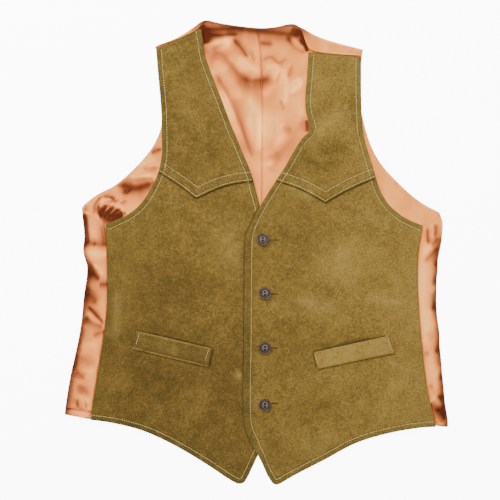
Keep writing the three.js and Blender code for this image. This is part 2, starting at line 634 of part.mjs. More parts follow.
// The top of the pattern, from the right shoulder tip to the left one. Each column has a point on
// the edge and one below it, where the bend starts or a band's width inside the neck edge.
function shoulderColumns(table, fold) {
  const curve = smoothCurve(table);
  const band = EDGE_BAND / curve.getLength();
  const stripCells = SIDE_STRIP.onTop + SIDE_STRIP.bend;
  const shares = join(
    evenShares(stripCells).map((share) => share * band),
    evenShares(TOP.shoulder).map((share) => band + share * (1 - band)),
  );
  return shares.map((share) => {
    const { x, y } = curve.getPointAt(share);
    return foldedColumn(point(x, y + SHOULDER_SEAM_GAP), fold);
  });
}

function foldedColumn(seen, fold) {
  const edge = fold.unlay(seen);
  return { edge, inner: fold.startOf(edge), past: fold.past(edge), bendLength: fold.bendLength(edge) };
}

const neckPoints = steps(neckEdge, TOP.neck);
const neckBand = offset(neckPoints, -EDGE_BAND);
const neckColumns = neckPoints.map((edge, i) => ({ edge, inner: neckBand[i], past: 0, bendLength: 0 }));
const rightReturn = steps([...rightNeckReturn].reverse(), TOP.rightReturn)
  .map((p) => foldedColumn(p, folds.rightShoulder));
const leftReturn = steps(leftNeckReturn, TOP.leftReturn)
  .map((p) => foldedColumn(p, folds.leftShoulder));
const topColumns = [
  ...shoulderColumns(rightShoulder, folds.rightShoulder),
  ...rightReturn.slice(1),
  ...neckColumns.slice(1, -1),
  ...leftReturn,
  ...shoulderColumns([...leftShoulder].reverse(), folds.leftShoulder).reverse().slice(1),
];

function backPattern() {
  const stripCells = SIDE_STRIP.onTop + SIDE_STRIP.bend;
  const bodyRows = rightSide.edge.length;
  const lastBody = bodyRows - 1;
  const innerTop = topColumns.map(({ inner }) => inner);
  const centreTop = innerTop.slice(stripCells, innerTop.length - stripCells);
  const rightInner = [...rightSide.inner.slice(0, lastBody), centreTop[0]];
  const leftInner = [...leftSide.inner.slice(0, lastBody), centreTop[centreTop.length - 1]];
  const centreCells = centreTop.length - 1;
  const centreBottom = evenShares(centreCells).map((share) => mix(rightInner[0], leftInner[0], share));
  const centre = stretch(centreBottom, centreTop, rightInner, leftInner);
  const strip = (edge, inner, fold) => {
    const shares = stripShares(fold.past(edge), fold.bendLength(edge), SIDE_STRIP);
    return shares.map((share) => mix(edge, inner, share));
  };
  const body = centre.slice(0, lastBody).map((row, j) => join(
    strip(rightSide.edge[j], rightInner[j], folds.right),
    row,
    strip(leftSide.edge[j], leftInner[j], folds.left).reverse(),
  ));
  const columns = topColumns.map(({ edge, inner, past, bendLength }) => (
    stripShares(past, bendLength, SHOULDER_STRIP).map((share) => mix(edge, inner, share)).reverse()
  ));
  const top = columns[0].map((_, k) => columns.map((column) => column[k]));
  return [...body, ...top];
}

const backRelief = relief(backFolds);
const SHOULDER_ZONE = 150;   // above this height on the body, cloth folds over the shoulders

function layBack(p, depth) {
  const side = p.x < 0 ? 'right' : 'left';
  const fold = p.y > SHOULDER_ZONE ? folds[`${side}Shoulder`] : folds[side];
  const laid = fold.lay(p, depth);
  const onTop = smooth(laid.z / SIDE_HEIGHT);
  laid.z += neckRise(p) + backRelief(laid) * onTop;
  return laid;
}

addPiece('back', wall(backPattern(), (p) => layBack(p, 0), (p) => layBack(p, SATIN)), materials.satin);

// Lining of the back, in two halves

const LINING = {
  inset: 1.4, sideClearance: 4.5, shoulderClearance: 0.6, neckClearance: 25, cornerClearance: 12,
  seamClearance: 2, hemShort: 6, lastUnderarmPoint: 3,
};

function liningHalf({ outline, backArmhole, shoulderFold, fold, outward, columnShares, rowCounts }) {
  const { bodyRows, underarmRows, topRows } = rowCounts;
  const foldLine = steps(outline, bodyRows)
    .map((p) => point(p.x - outward * LINING.sideClearance, p.y));
  foldLine[0].y += LINING.hemShort;
  const [underarmY, bendY] = [backArmhole[0].y, backArmhole[LINING.lastUnderarmPoint].y];
  const underarm = stepsBetween(backArmhole, underarmY, bendY, underarmRows);
  const upper = stepsBetween(backArmhole, bendY, backArmhole.at(-1).y, topRows);
  const underarmLine = offset(underarm, outward * LINING.inset);
  const upperLine = offset(upper, outward * LINING.inset);
  const limitX = outward * outline.at(-1).x - LINING.cornerClearance;
  for (const p of underarmLine) p.x = outward * Math.min(outward * p.x, limitX);
  const outer = join(foldLine, underarmLine, upperLine);
  const rows = outer.length - 1;
  const seamX = xOf(centreSeam);
  const onSeam = (y) => point(seamX(y) + (outward * SEAM_GAP) / 2, y);
  const bottomY = outline[0].y + LINING.hemShort;
  const neckTopY = neckY(centreSeam.at(-1).x) - LINING.inset;
  const centre = outer.map((_, j) => {
    if (j <= bodyRows) return onSeam(THREE.MathUtils.lerp(bottomY, underarmY, j / bodyRows));
    return onSeam(THREE.MathUtils.lerp(underarmY, neckTopY, (j - bodyRows) / (rows - bodyRows)));
  });
  const shoulderLine = steps(shoulderFold, SAMPLES.lineOfLining)
    .map((p) => fold.startOf(p).addScaledVector(fold.out, -LINING.shoulderClearance));
  const neckEndX = (outward < 0 ? shoulderFold.at(-1) : shoulderFold[0]).x - outward * LINING.neckClearance;
  const seamEndX = centre.at(-1).x + outward * LINING.seamClearance;
  const neckLine = offset(steps(neckEdge, SAMPLES.neckOfLining), -LINING.inset)
    .filter((p) => outward * p.x > outward * seamEndX && outward * p.x < outward * neckEndX);
  const topPath = outward < 0
    ? [...shoulderLine.slice(0, -1), ...neckLine, centre.at(-1)]
    : [centre.at(-1), ...neckLine, ...shoulderLine.slice(1)];
  const topCurve = smoothCurve(topPath);
  const shares = outward < 0 ? columnShares : columnShares.map((share) => 1 - share).reverse();
  const top = shares.map((share) => {
    const { x, y } = topCurve.getPointAt(share);
    return point(x, y);
  });
  const [left, right] = outward < 0 ? [outer, centre] : [centre, outer];
  left[rows] = top[0].clone();
  right[rows] = top[top.length - 1].clone();
  const bottom = shares.map((share) => mix(left[0], right[0], share));
  return stretch(bottom, top, left, right, shares);
}

// Columns from the armhole to the centre seam, as shares of the half: close together at the gathers
const GATHER_COLUMNS = { from: 0.04, to: 0.21, within: 14, beyond: 11 };
const sharesBetween = (from, to, count) => evenShares(count).map((share) => from + (to - from) * share);
const rightColumns = join(
  [0, GATHER_COLUMNS.from],
  sharesBetween(GATHER_COLUMNS.from, GATHER_COLUMNS.to, GATHER_COLUMNS.within),
  sharesBetween(GATHER_COLUMNS.to, 1, GATHER_COLUMNS.beyond),
);
const LEFT_COLUMNS = 15;

addPiece('lining_right', panelWall(liningHalf({
  outline: rightFold, backArmhole: rightBackArmhole, shoulderFold: rightShoulderFold,
  fold: folds.rightShoulder, outward: -1, columnShares: rightColumns,
  rowCounts: { bodyRows: 6, underarmRows: 9, topRows: 16 },
}), liningBottom, SATIN), materials.lining);
addPiece('lining_left', panelWall(liningHalf({
  outline: leftFold, backArmhole: leftBackArmhole, shoulderFold: leftShoulderFold,
  fold: folds.leftShoulder, outward: 1, columnShares: evenShares(LEFT_COLUMNS),
  rowCounts: { bodyRows: 6, underarmRows: 4, topRows: 15 },
}), liningBottom, SATIN), materials.lining);

// Buttons: a dished disc with a raised rim and two holes, one above the other

function toSolid(geometry) {
  const bare = geometry.clone();
  bare.deleteAttribute('normal');
  bare.deleteAttribute('uv');
  const merged = mergeVertices(bare, 1e-4);
  return new wasm.Manifold(new wasm.Mesh({
    numProp: 3,
    vertProperties: new Float32Array(merged.attributes.position.array),
    triVerts: new Uint32Array(merged.index.array),
  }));
}

function toGeometry(solid) {
  const { vertProperties, triVerts } = solid.getMesh();
  const geometry = new THREE.BufferGeometry();
  geometry.setAttribute('position', new THREE.Float32BufferAttribute(vertProperties, 3));
  geometry.setIndex(Array.from(triVerts));
  geometry.computeVertexNormals();
  return geometry;
}

function buttonGeometry() {
  const { radius, thickness, rim, dish, dishSlope, hole, holeSpacing } = BUTTON;
  const floor = thickness - dish;
  const outline = [
    point(0, 0),
    point(radius - BUTTON.underCut, 0),
    point(radius, BUTTON.underRise),
    point(radius, thickness - BUTTON.shoulder),
    point(radius - BUTTON.crown, thickness),
    point(radius - rim, thickness),
    point(radius - rim - dishSlope, floor),
    point(0, floor),
  ];
  const disc = new THREE.LatheGeometry(outline, BUTTON.sides).rotateX(Math.PI / 2);
  let solid = toSolid(disc);
  for (const side of [-1, 1]) {
    const drill = new THREE.CylinderGeometry(hole, hole, thickness * 3, BUTTON.holeSides);
    drill.rotateX(Math.PI / 2).translate(0, (side * holeSpacing) / 2, 0);
    solid = solid.subtract(toSolid(drill));
  }
  return toGeometry(solid);
}

const buttonPlaces = [{ x: 9, y: 17 }, { x: 12, y: -56 }, { x: 12, y: -130 }, { x: 12, y: -207 }];
const buttonShape = buttonGeometry();
buttonPlaces.forEach(({ x, y }, i) => {
  const button = addPiece(`button_${i + 1}`, buttonShape.clone(), materials.button);
  const around = evenShares(SAMPLES.underButton).map((share) => {
    const spoke = point(BUTTON.radius, 0).rotateAround(point(0, 0), share * 2 * Math.PI);
    return leftFrontBottom(spoke.add(point(x, y)));
  });
  button.position.set(x, y, Math.max(...around) + SUEDE + SEAM_GAP);
});

// The origin is under the middle of the vest, on the surface that it lies on

const bounds = new THREE.Box3().setFromObject(vest);
const middle = bounds.getCenter(new THREE.Vector3());
for (const mesh of vest.children) mesh.position.sub(new THREE.Vector3(middle.x, middle.y, bounds.min.z));

export default vest;
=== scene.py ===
# %% [markdown]
# # A western vest laid flat
# The vest lies on its back. Two suede fronts with pointed yokes are sewn to a satin back, which
# wraps round the sides and over the shoulders. Its satin lining shows in the neck and armholes.
# The solids are loaded first and stay where they are. Each piece of cloth is then made as a fine
# shell on the form of its solid, and sewn, creased and coloured here.

# %% The tools and the frame
import math
import random
from collections import namedtuple

import bmesh
import bpy
import numpy as np
from mathutils import Matrix, Vector, noise
from mathutils.bvhtree import BVHTree
from mathutils.kdtree import KDTree


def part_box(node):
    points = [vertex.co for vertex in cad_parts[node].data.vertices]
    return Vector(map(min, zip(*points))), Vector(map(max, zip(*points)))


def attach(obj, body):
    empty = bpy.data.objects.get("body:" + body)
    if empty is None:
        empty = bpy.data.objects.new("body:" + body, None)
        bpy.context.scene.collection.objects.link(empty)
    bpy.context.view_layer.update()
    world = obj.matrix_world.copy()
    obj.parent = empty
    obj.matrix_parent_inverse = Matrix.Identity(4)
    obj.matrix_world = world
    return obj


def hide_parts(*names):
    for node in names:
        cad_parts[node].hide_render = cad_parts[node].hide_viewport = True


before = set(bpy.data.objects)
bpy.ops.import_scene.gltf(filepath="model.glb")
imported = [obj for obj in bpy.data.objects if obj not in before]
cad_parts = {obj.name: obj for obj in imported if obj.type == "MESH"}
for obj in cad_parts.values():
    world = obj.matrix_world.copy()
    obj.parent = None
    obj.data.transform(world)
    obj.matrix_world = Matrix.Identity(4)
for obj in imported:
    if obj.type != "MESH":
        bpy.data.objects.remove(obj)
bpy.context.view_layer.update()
print("solids:", sorted(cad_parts))

# %% [markdown]
# ## Sizes
# Places are in millimetres, as a pattern maker measures them, and become metres in the meshes.
# The drawing was measured from its own zero, which lies a little above the middle of the vest.

# %% Sizes
MM = 0.001
DRAWING_RISE = 1.5                 # from the frame's zero up to the zero of the outlines
SUEDE = 2.0                        # thickness of a suede panel at its turned edge
STEP = 3.0                         # between two points of an outline
EDGE_ROW = 7.2                     # from a suede edge to its row of stitches
FRONT_EDGE_EXTRA = 2.2             # that the row of the overlapping front edge lies deeper
YOKE_ROWS = (2.2, 12.6)            # from the lower edge of a yoke to its two rows
YOKE_LAP = 12                      # of a yoke over the front
print("rows of a yoke, in millimetres from its lower edge:", YOKE_ROWS)

# %% [markdown]
# ## Outlines
# Each edge of the suede is one smooth curve through a few measured points. Left and right are
# the wearer's, so the right front lies on the left. A front and its yoke share the armhole and
# the neckline, and are cut apart where the yoke crosses them.

# %% The outlines of the right front and its yoke
RIGHT = {
    "seam": [(-225, -228), (-216, -174), (-207, -120), (-202, -79), (-201, -38), (-202, 3), (-204, 37)],
    "armhole": [(-204, 37), (-190, 43), (-174, 51), (-159, 63), (-147, 79), (-137, 98), (-131, 114),
                (-128, 132), (-128, 152), (-129, 193), (-133, 240), (-136, 276)],
    "hem": [(-225, -228), (-197, -232), (-154, -243), (-110, -263.5), (-67, -289.5), (-40, -307.5),
            (-28.5, -314.3), (-23.5, -316), (-16.7, -314.4), (-12.2, -308.2), (-8, -300), (2, -278),
            (15, -248), (21, -226), (21, -100), (21, 3), (18, 27)],
    "neckline": [(18, 27), (5, 64), (-6, 105), (-18, 135), (-34, 173), (-51, 218), (-62, 246),
                 (-69, 267), (-72, 288), (-75, 303)],
    "shoulder": [(-136, 276), (-112, 286), (-95, 293), (-75, 303)],
    "yoke": [[(-132, 109), (-102, 89), (-81, 73)], [(-81, 73), (-50, 87), (-28, 93), (-4, 96)]],
}
print("points measured on the right side:", {name: len(line) for name, line in RIGHT.items()})

# %% [markdown]
# The left front is wider than the right one, because it laps over it and because the vest
# didn't lie quite straight. Mirroring one side would be quicker, but the photographed vest isn't
# symmetrical, so the left side has points of its own.

# %% The outlines of the left front and its yoke
LEFT = {
    "seam": [(244, -237.5), (235, -201), (227, -147), (222, -92), (219, -38), (220, 3), (226, 36)],
    "armhole": [(226, 36), (207, 44), (194, 52), (180, 65), (169, 83), (158, 116), (149, 147),
                (145, 165), (144, 183), (143, 216), (143, 265)],
    "hem": [(244, -237.5), (226, -238.5), (184, -245.5), (137, -259.5), (93, -283), (53, -304), (38, -312.7),
            (31.8, -316.1), (28.2, -317.2), (24.5, -316.6), (21, -312.8), (15.4, -303.7), (7.5, -286),
            (-5, -261), (-15, -236), (-17, -201), (-16, -120), (-15, 3), (-14, 22)],
    "neckline": [(-14, 22), (-1, 50), (15, 78), (37, 112), (55, 143), (64, 156), (72, 164), (73, 172),
                 (69, 184), (67, 196), (67, 216), (69, 238), (71, 271)],
    "shoulder": [(143, 265), (114, 267), (92, 269), (71, 271)],
    "yoke": [[(162, 101), (124, 84), (94, 67)], [(94, 67), (75, 78), (57, 87), (27, 97)]],
}
print("points measured on the left side:", {name: len(line) for name, line in LEFT.items()})

# %% [markdown]
# A smooth curve through points could be a Bezier curve with automatic handles. A Catmull-Rom
# curve is used instead, because it needs no handles. Its centripetal form never loops, even
# where two of the points lie close together.


# %% Smooth curves
def on_curve(a, b, c, d, share):
    """A place between b and c on the curve that runs through all four points"""
    times = [0.0]
    for start, end in ((a, b), (b, c), (c, d)):
        times.append(times[-1] + math.sqrt((end - start).length))
    now = times[1] + share * (times[2] - times[1])

    def between(start, end, first, last):
        return start.lerp(end, (now - times[first]) / (times[last] - times[first]))

    low = between(between(a, b, 0, 1), between(b, c, 1, 2), 0, 2)
    high = between(between(b, c, 1, 2), between(c, d, 2, 3), 1, 3)
    return between(low, high, 1, 2)


def curve(table, step=STEP):
    """Points about a step apart on a smooth curve through the table's points"""
    knots = [Vector((x, y)) for x, y in table]
    knots = [2 * knots[0] - knots[1], *knots, 2 * knots[-1] - knots[-2]]
    line = []
    for a, b, c, d in zip(knots, knots[1:], knots[2:], knots[3:]):
        count = max(1, round((c - b).length / step))
        line += [on_curve(a, b, c, d, i / count) for i in range(count)]
    return [*line, knots[-2]]


def up_to(line, height):
    """The part of a climbing line that lies below a height"""
    return [p for p in line if p.y < height]


def above(line, height):
    return [p for p in line if p.y >= height]


def shifted(line, distance):
    """The line moved to its left-hand side, without the loops of its tight turns"""
    moved = []
    for i, p in enumerate(line):
        ahead = line[min(i + 1, len(line) - 1)] - line[max(i - 1, 0)]
        moved.append(p + Vector((-ahead.y, ahead.x)).normalized() * distance)
    least = 0.97 * abs(distance)
    return [p for p in moved if min((p - q).length for q in line) > least]


SHARP = math.radians(40)           # a turn that counts as a corner or an edge
BESIDE = 6.5                       # from such a corner to the next point of an outline


def clear_of(line, *others):
    """The points of a line that keep clear of the other lines' points"""
    near = [p for other in others for p in other]
    return [p for p in line if min((p - q).length for q in near) > STEP * 0.7]


def closed(*lines):
    """One closed outline of several lines, with no point close beside its sharp corners"""
    outline = []
    for line in lines:
        for p in line:
            if not outline or (p - outline[-1]).length > STEP / 4:
                outline.append(p)
    if (outline[0] - outline[-1]).length < STEP / 4:
        outline.pop()
    corners = []
    for before, here, after in zip([outline[-1], *outline], outline, [*outline[1:], outline[0]]):
        if (here - before).angle(after - here) > SHARP:
            corners.append(here)
    return [p for p in outline if p in corners or min((p - c).length for c in corners) > BESIDE]


print("points on the right hem:", len(curve(RIGHT["hem"])))

# %% [markdown]
# ## Form
# A solid gives the height of its piece. Its upper side is copied, joined into four-sided faces
# and rounded by a Subdivision Surface, and every point of the fine shell is dropped on to it.
# Reading the form in this way keeps shell and solid together when the solid changes.


# %% The form of a solid
def joined_copy(node):
    """The solid's mesh, whose loose triangles are joined into four-sided faces"""
    bm = bmesh.new()
    bm.from_mesh(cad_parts[node].data)
    bmesh.ops.remove_doubles(bm, verts=bm.verts, dist=0.01 * MM)
    bmesh.ops.join_triangles(
        bm, faces=bm.faces, angle_face_threshold=math.pi, angle_shape_threshold=math.pi)
    bm.normal_update()
    return bm


def mesh_of(bm, name):
    """A new mesh with the faces of a bmesh, which is freed"""
    mesh = bpy.data.meshes.new(name)
    bm.to_mesh(mesh)
    bm.free()
    return mesh


def rounded(bm, levels, crispness=0.0):
    """The bmesh after a Subdivision Surface, with its sharp edges kept as crisp as asked"""
    crease = bm.edges.layers.float.new("crease_edge")
    for edge in bm.edges:
        if crispness and edge.calc_face_angle(0) > SHARP:
            edge[crease] = crispness
    draft = bpy.data.objects.new("draft", mesh_of(bm, "draft"))
    bpy.context.scene.collection.objects.link(draft)
    surface = draft.modifiers.new("round", "SUBSURF")
    surface.levels = surface.render_levels = levels
    surface.boundary_smooth = "PRESERVE_CORNERS"
    graph = bpy.context.evaluated_depsgraph_get()
    fine = bpy.data.meshes.new_from_object(draft.evaluated_get(graph))
    bpy.data.objects.remove(draft)
    return fine


def tree_of(mesh):
    bm = bmesh.new()
    bm.from_mesh(mesh)
    tree = BVHTree.FromBMesh(bm)
    bm.free()
    return tree


UPPER = 0.3                        # least rise of the normal of an upper face


def form_of(node):
    """A search tree of the solid's rounded upper side"""
    bm = joined_copy(node)
    under = [face for face in bm.faces if face.normal.z < UPPER]
    bmesh.ops.delete(bm, geom=under, context="FACES")
    return tree_of(rounded(bm, levels=2))


UP = Vector((0, 0, 1))
ABOVE_ALL = 0.1                    # a height over the whole vest, in metres
MID_HEIGHT = 4 * MM                # a height inside the vest


def height_on(tree, place):
    """Height of the surface at a place, or of its nearest point beside it"""
    hit = tree.ray_cast(Vector((place.x, place.y, ABOVE_ALL)), -UP)[0]
    if hit is None:
        hit = tree.find_nearest(Vector((place.x, place.y, MID_HEIGHT)))[0]
    return hit.z


# %% [markdown]
# ## Creases
# A crease is a soft trough or ridge along a path. Each is listed, with its own width, height
# and tone, because a noise texture would spread them evenly and real ones bunch up where the
# cloth is pulled. Cloth that dips also rises a little on both sides, so the profile does so
# too. The tone goes into an attribute and deepens the colour where the cloth turns from light.

# %% Crease rows and the relief that they make
# A crease's tone is painted shade in its trough and a painted highlight on its ridge; a row with no height
# paints only shade or highlight.
Crease = namedtuple("Crease", "path width height tone fade", defaults=(0.0, 0.3))
RISE_BESIDE = 0.3                  # of its depth that a trough rises beside itself


def points_of(mesh):
    places = np.empty(len(mesh.vertices) * 3, np.float32)
    mesh.vertices.foreach_get("co", places)
    return places.reshape(-1, 3)


def set_points(mesh, places):
    mesh.vertices.foreach_set("co", places.astype(np.float32).ravel())
    mesh.update()


def mesh_ups(mesh):
    """How far each point's normal points up, from -1 to 1"""
    return np.array([vertex.normal.z for vertex in mesh.vertices])


def paint(mesh, name, values):
    """Stores one number for each point of the mesh, for its material to read"""
    layer = mesh.attributes.new(name, "FLOAT", "POINT")
    layer.data.foreach_set("value", np.asarray(values, np.float32))


def smoothstep(value):
    value = np.clip(value, 0, 1)
    return value * value * (3 - 2 * value)


TAPER = 0.45                       # width left at the ends of a crease
CORE = 0.38                        # of its width that takes the sharp part of the tone
HALO = 1.5                         # of its width over which the soft part of the tone fades


def beside_path(flat, path):
    """Distance of each flat point from a path, and its share of the way along"""
    path = np.array([tuple(p) for p in path])
    lengths = np.linalg.norm(np.diff(path, axis=0), axis=1)
    starts = np.concatenate([[0], np.cumsum(lengths)])
    gap = np.full(len(flat), np.inf)
    share = np.zeros(len(flat))
    for a, b, length, start in zip(path, path[1:], lengths, starts):
        along = np.clip((flat - a) @ (b - a) / length**2, 0, 1)
        here = np.linalg.norm(flat - a - along[:, None] * (b - a), axis=1)
        nearer = here < gap
        gap[nearer] = here[nearer]
        share[nearer] = (start + along[nearer] * length) / starts[-1]
    return gap, share


def crease_relief(flat, rows):
    """Height and tone that the rows of creases give each flat point, in millimetres"""
    height = np.zeros(len(flat))
    tone = np.zeros(len(flat))
    for row in rows:
        gap, share = beside_path(flat, curve(row.path) if len(row.path) > 2 else row.path)
        width = row.width * (TAPER + (1 - TAPER) * np.sin(math.pi * share))
        across = (2 * gap / width) ** 2
        ends = smoothstep(np.minimum(share, 1 - share) / row.fade)
        middle = np.exp(-across)
        height += row.height * middle * ends * (1 - RISE_BESIDE * across)
        halo = np.exp(-across / HALO**2)
        core = np.exp(-across / CORE**2) if row.tone < 0 else halo
        tone += row.tone * ends * (2 * halo + middle + core) / 4
    return height, tone


# %% [markdown]
# ## Finishes
# Satin floats its threads on the surface, so it mirrors a broad soft light where it lies level
# and goes deep and warm where it turns away. Suede is the napped side of leather: it has no
# gloss, its hairs lie in patches that are lighter or darker, and rubbed places turn pale.
# All of this is procedural. Patterns that follow the cloth read attributes, the rest read
# Object coordinates.


# %% Node helpers
def add_node(tree, kind, **settings):
    made = tree.nodes.new(kind)
    for name, value in settings.items():
        setattr(made, name, value)
    return made


def noise_at(tree, source, scale, detail=2.0, roughness=0.5, distortion=0.0):
    made = add_node(tree, "ShaderNodeTexNoise")
    made.inputs["Scale"].default_value = scale
    made.inputs["Detail"].default_value = detail
    made.inputs["Roughness"].default_value = roughness
    made.inputs["Distortion"].default_value = distortion
    tree.links.new(source, made.inputs["Vector"])
    return made.outputs["Fac"]


def math_node(tree, operation, first, second, clamp=False):
    made = add_node(tree, "ShaderNodeMath", operation=operation, use_clamp=clamp)
    for socket, value in zip(made.inputs, (first, second)):
        if isinstance(value, (int, float)):
            socket.default_value = value
        else:
            tree.links.new(value, socket)
    return made.outputs[0]


def ramp_node(tree, source, stops):
    made = add_node(tree, "ShaderNodeValToRGB")
    points = made.color_ramp.elements
    while len(points) < len(stops):
        points.new(0.5)
    for point, (place, colour) in zip(points, stops):
        point.position = place
        point.color = (*colour, 1.0)
    tree.links.new(source, made.inputs["Fac"])
    return made.outputs["Color"]


def mix_colour(tree, share, first, second, blend="MIX"):
    made = add_node(tree, "ShaderNodeMix", data_type="RGBA", blend_type=blend)
    colours = [socket for socket in made.inputs if socket.type == "RGBA"]
    for socket, value in zip([made.inputs[0], *colours], (share, first, second)):
        if isinstance(value, float):
            socket.default_value = value
        elif isinstance(value, tuple):
            socket.default_value = (*value, 1.0)
        else:
            tree.links.new(value, socket)
    return next(socket for socket in made.outputs if socket.type == "RGBA")


def attribute(tree, name):
    return add_node(tree, "ShaderNodeAttribute", attribute_name=name).outputs["Fac"]


def new_material(name):
    material = bpy.data.materials.new(name)
    material.use_nodes = True
    shader = material.node_tree.nodes["Principled BSDF"]
    return material, material.node_tree, shader


def set_sockets(shader, **values):
    for name, value in values.items():
        shader.inputs[name.replace("_", " ")].default_value = value


# %% [markdown]
# The same fine threads run through the back and the lining, and a coarser version of them
# through the sewing thread. They are one node group, with the size of the threads as an input.


# %% The weave group
def weave_group():
    group = bpy.data.node_groups.new("Weave", "ShaderNodeTree")
    group.interface.new_socket("Vector", in_out="INPUT", socket_type="NodeSocketVector")
    size = group.interface.new_socket("Threads", in_out="INPUT", socket_type="NodeSocketFloat")
    size.default_value = 2500
    group.interface.new_socket("Height", in_out="OUTPUT", socket_type="NodeSocketFloat")
    source = group.nodes.new("NodeGroupInput")
    result = group.nodes.new("NodeGroupOutput")
    heights = []
    for direction in ("X", "Y"):
        threads = add_node(group, "ShaderNodeTexWave", bands_direction=direction)
        threads.inputs["Distortion"].default_value = 1.5
        threads.inputs["Detail"].default_value = 1.0
        group.links.new(source.outputs["Vector"], threads.inputs["Vector"])
        group.links.new(source.outputs["Threads"], threads.inputs["Scale"])
        heights.append(threads.outputs["Fac"])
    total = math_node(group, "ADD", math_node(group, "MULTIPLY", heights[0], 0.3), heights[1])
    group.links.new(total, result.inputs["Height"])
    return group


WEAVE = weave_group()


def weave_height(tree, source, threads):
    made = add_node(tree, "ShaderNodeGroup", node_tree=WEAVE)
    made.inputs["Threads"].default_value = threads
    tree.links.new(source, made.inputs["Vector"])
    return made.outputs["Height"]


def bump_into(tree, shader, height, distance, strength=1.0):
    made = add_node(tree, "ShaderNodeBump")
    made.inputs["Distance"].default_value = distance
    made.inputs["Strength"].default_value = strength
    tree.links.new(height, made.inputs["Height"])
    tree.links.new(made.outputs["Normal"], shader.inputs["Normal"])


# %% [markdown]
# Satin takes its colour from the tone attribute: painted shade in its folds, painted highlight
# on their ridges. One could leave the tones to light alone, but satin reflects itself inside a
# fold, which makes a crease redder as well as darker. A ramp from red-brown over orange to pale
# peach paints that at once.

# %% The satin finishes
# The ramp runs from the painted shade of the deepest folds over the satin's own orange to its painted
# highlight.
SATIN_TONES = [
    (0.00, (0.06, 0.009, 0.002)),
    (0.20, (0.15, 0.034, 0.010)),
    (0.40, (0.36, 0.090, 0.024)),
    (0.60, (0.66, 0.190, 0.040)),
    (0.78, (0.90, 0.295, 0.055)),
    (1.00, (1.00, 0.43, 0.110)),
]
MID_TONE = 0.78                    # place on the ramp of satin without a crease
TONE_SHARE = 0.6                   # of the tone attribute that moves the place on the ramp
# The gathers beside the side seams bump the satin and get painted shade in their troughs.
GATHERS = {"scale": 98, "tone": 0.22, "height": 0.08}     # one gather for each 3.2 mm


def satin(name, fold_shading):
    material, tree, shader = new_material(name)
    place = add_node(tree, "ShaderNodeTexCoord").outputs["Object"]
    along = add_node(tree, "ShaderNodeMapping")
    along.inputs["Rotation"].default_value = (0, 0, math.radians(-25))
    along.inputs["Scale"].default_value = (1.0, 0.45, 1.0)
    tree.links.new(place, along.inputs["Vector"])
    along = along.outputs["Vector"]
    folds = noise_at(tree, along, 44, detail=1, distortion=0.8)
    # painted shade in the troughs of the noise folds and a painted sheen on their crests
    drift = math_node(tree, "MULTIPLY", math_node(tree, "SUBTRACT", folds, 0.5), fold_shading)
    gathers = add_node(tree, "ShaderNodeTexWave", bands_direction="Y")
    gathers.inputs["Scale"].default_value = GATHERS["scale"]
    gathers.inputs["Distortion"].default_value = 2.5
    tree.links.new(place, gathers.inputs["Vector"])
    gathers = math_node(tree, "MULTIPLY", gathers.outputs["Fac"], attribute(tree, "seam_near"))
    # painted shade in the troughs of the gathers
    gather_tone = math_node(tree, "MULTIPLY", gathers, GATHERS["tone"])
    drift = math_node(tree, "SUBTRACT", drift, gather_tone)
    # the tone attribute moves the satin along the ramp: painted shade and painted highlight
    toned = math_node(tree, "MULTIPLY", attribute(tree, "tone"), TONE_SHARE)
    level = math_node(tree, "ADD", math_node(tree, "ADD", toned, drift), MID_TONE, clamp=True)
    tree.links.new(ramp_node(tree, level, SATIN_TONES), shader.inputs["Base Color"])
    weave = weave_height(tree, place, 2600)
    height = math_node(tree, "ADD", math_node(tree, "MULTIPLY", weave, 0.03),
                       math_node(tree, "MULTIPLY", folds, 0.5))
    gather_height = math_node(tree, "MULTIPLY", gathers, GATHERS["height"])
    height = math_node(tree, "SUBTRACT", height, gather_height)
    bump_into(tree, shader, height, 0.004)
    set_sockets(shader, Roughness=0.32, Metallic=0.6, Sheen_Weight=0.1, Sheen_Roughness=0.35,
                Sheen_Tint=(1.0, 0.6, 0.3, 1.0), Specular_Tint=(1.0, 0.62, 0.36, 1.0), IOR=1.5)
    return material


# %% [markdown]
# Suede is mixed from noise at three sizes: broad patches where the hide was thicker, the
# direction in which the hairs were last stroked, and the hairs themselves. Attributes add what
# has a place of its own: the turned edge, which is pressed dark, the rubbed scuffs, the tone,
# which holds painted shade and highlight of the creases, painted shade in the grooves of the
# rows, and a painted shadow beside the pieces that lie over the suede.

# %% The suede finish
SUEDE_TONES = [
    (0.25, (0.036, 0.0204, 0.0034)),
    (0.42, (0.067, 0.0400, 0.0069)),
    (0.56, (0.105, 0.0650, 0.0121)),
    (0.78, (0.172, 0.1095, 0.0245)),
]
# SUEDE_EDGE darkens the turned band, which is pressed darker, and paints the shade in the grooves of the
# rows.
SUEDE_EDGE = (0.84, 0.88, 0.84)
SUEDE_RUBBED = (0.27, 0.187, 0.048)
SUEDE_PAINTED_SHADOW = (0.26, 0.24, 0.18)
GROOVE_EDGE = 0.45                 # depth left of the groove one millimetre from its row
BESIDE_REACH = 1.5                 # from a piece that lies over the suede to where its shade fades


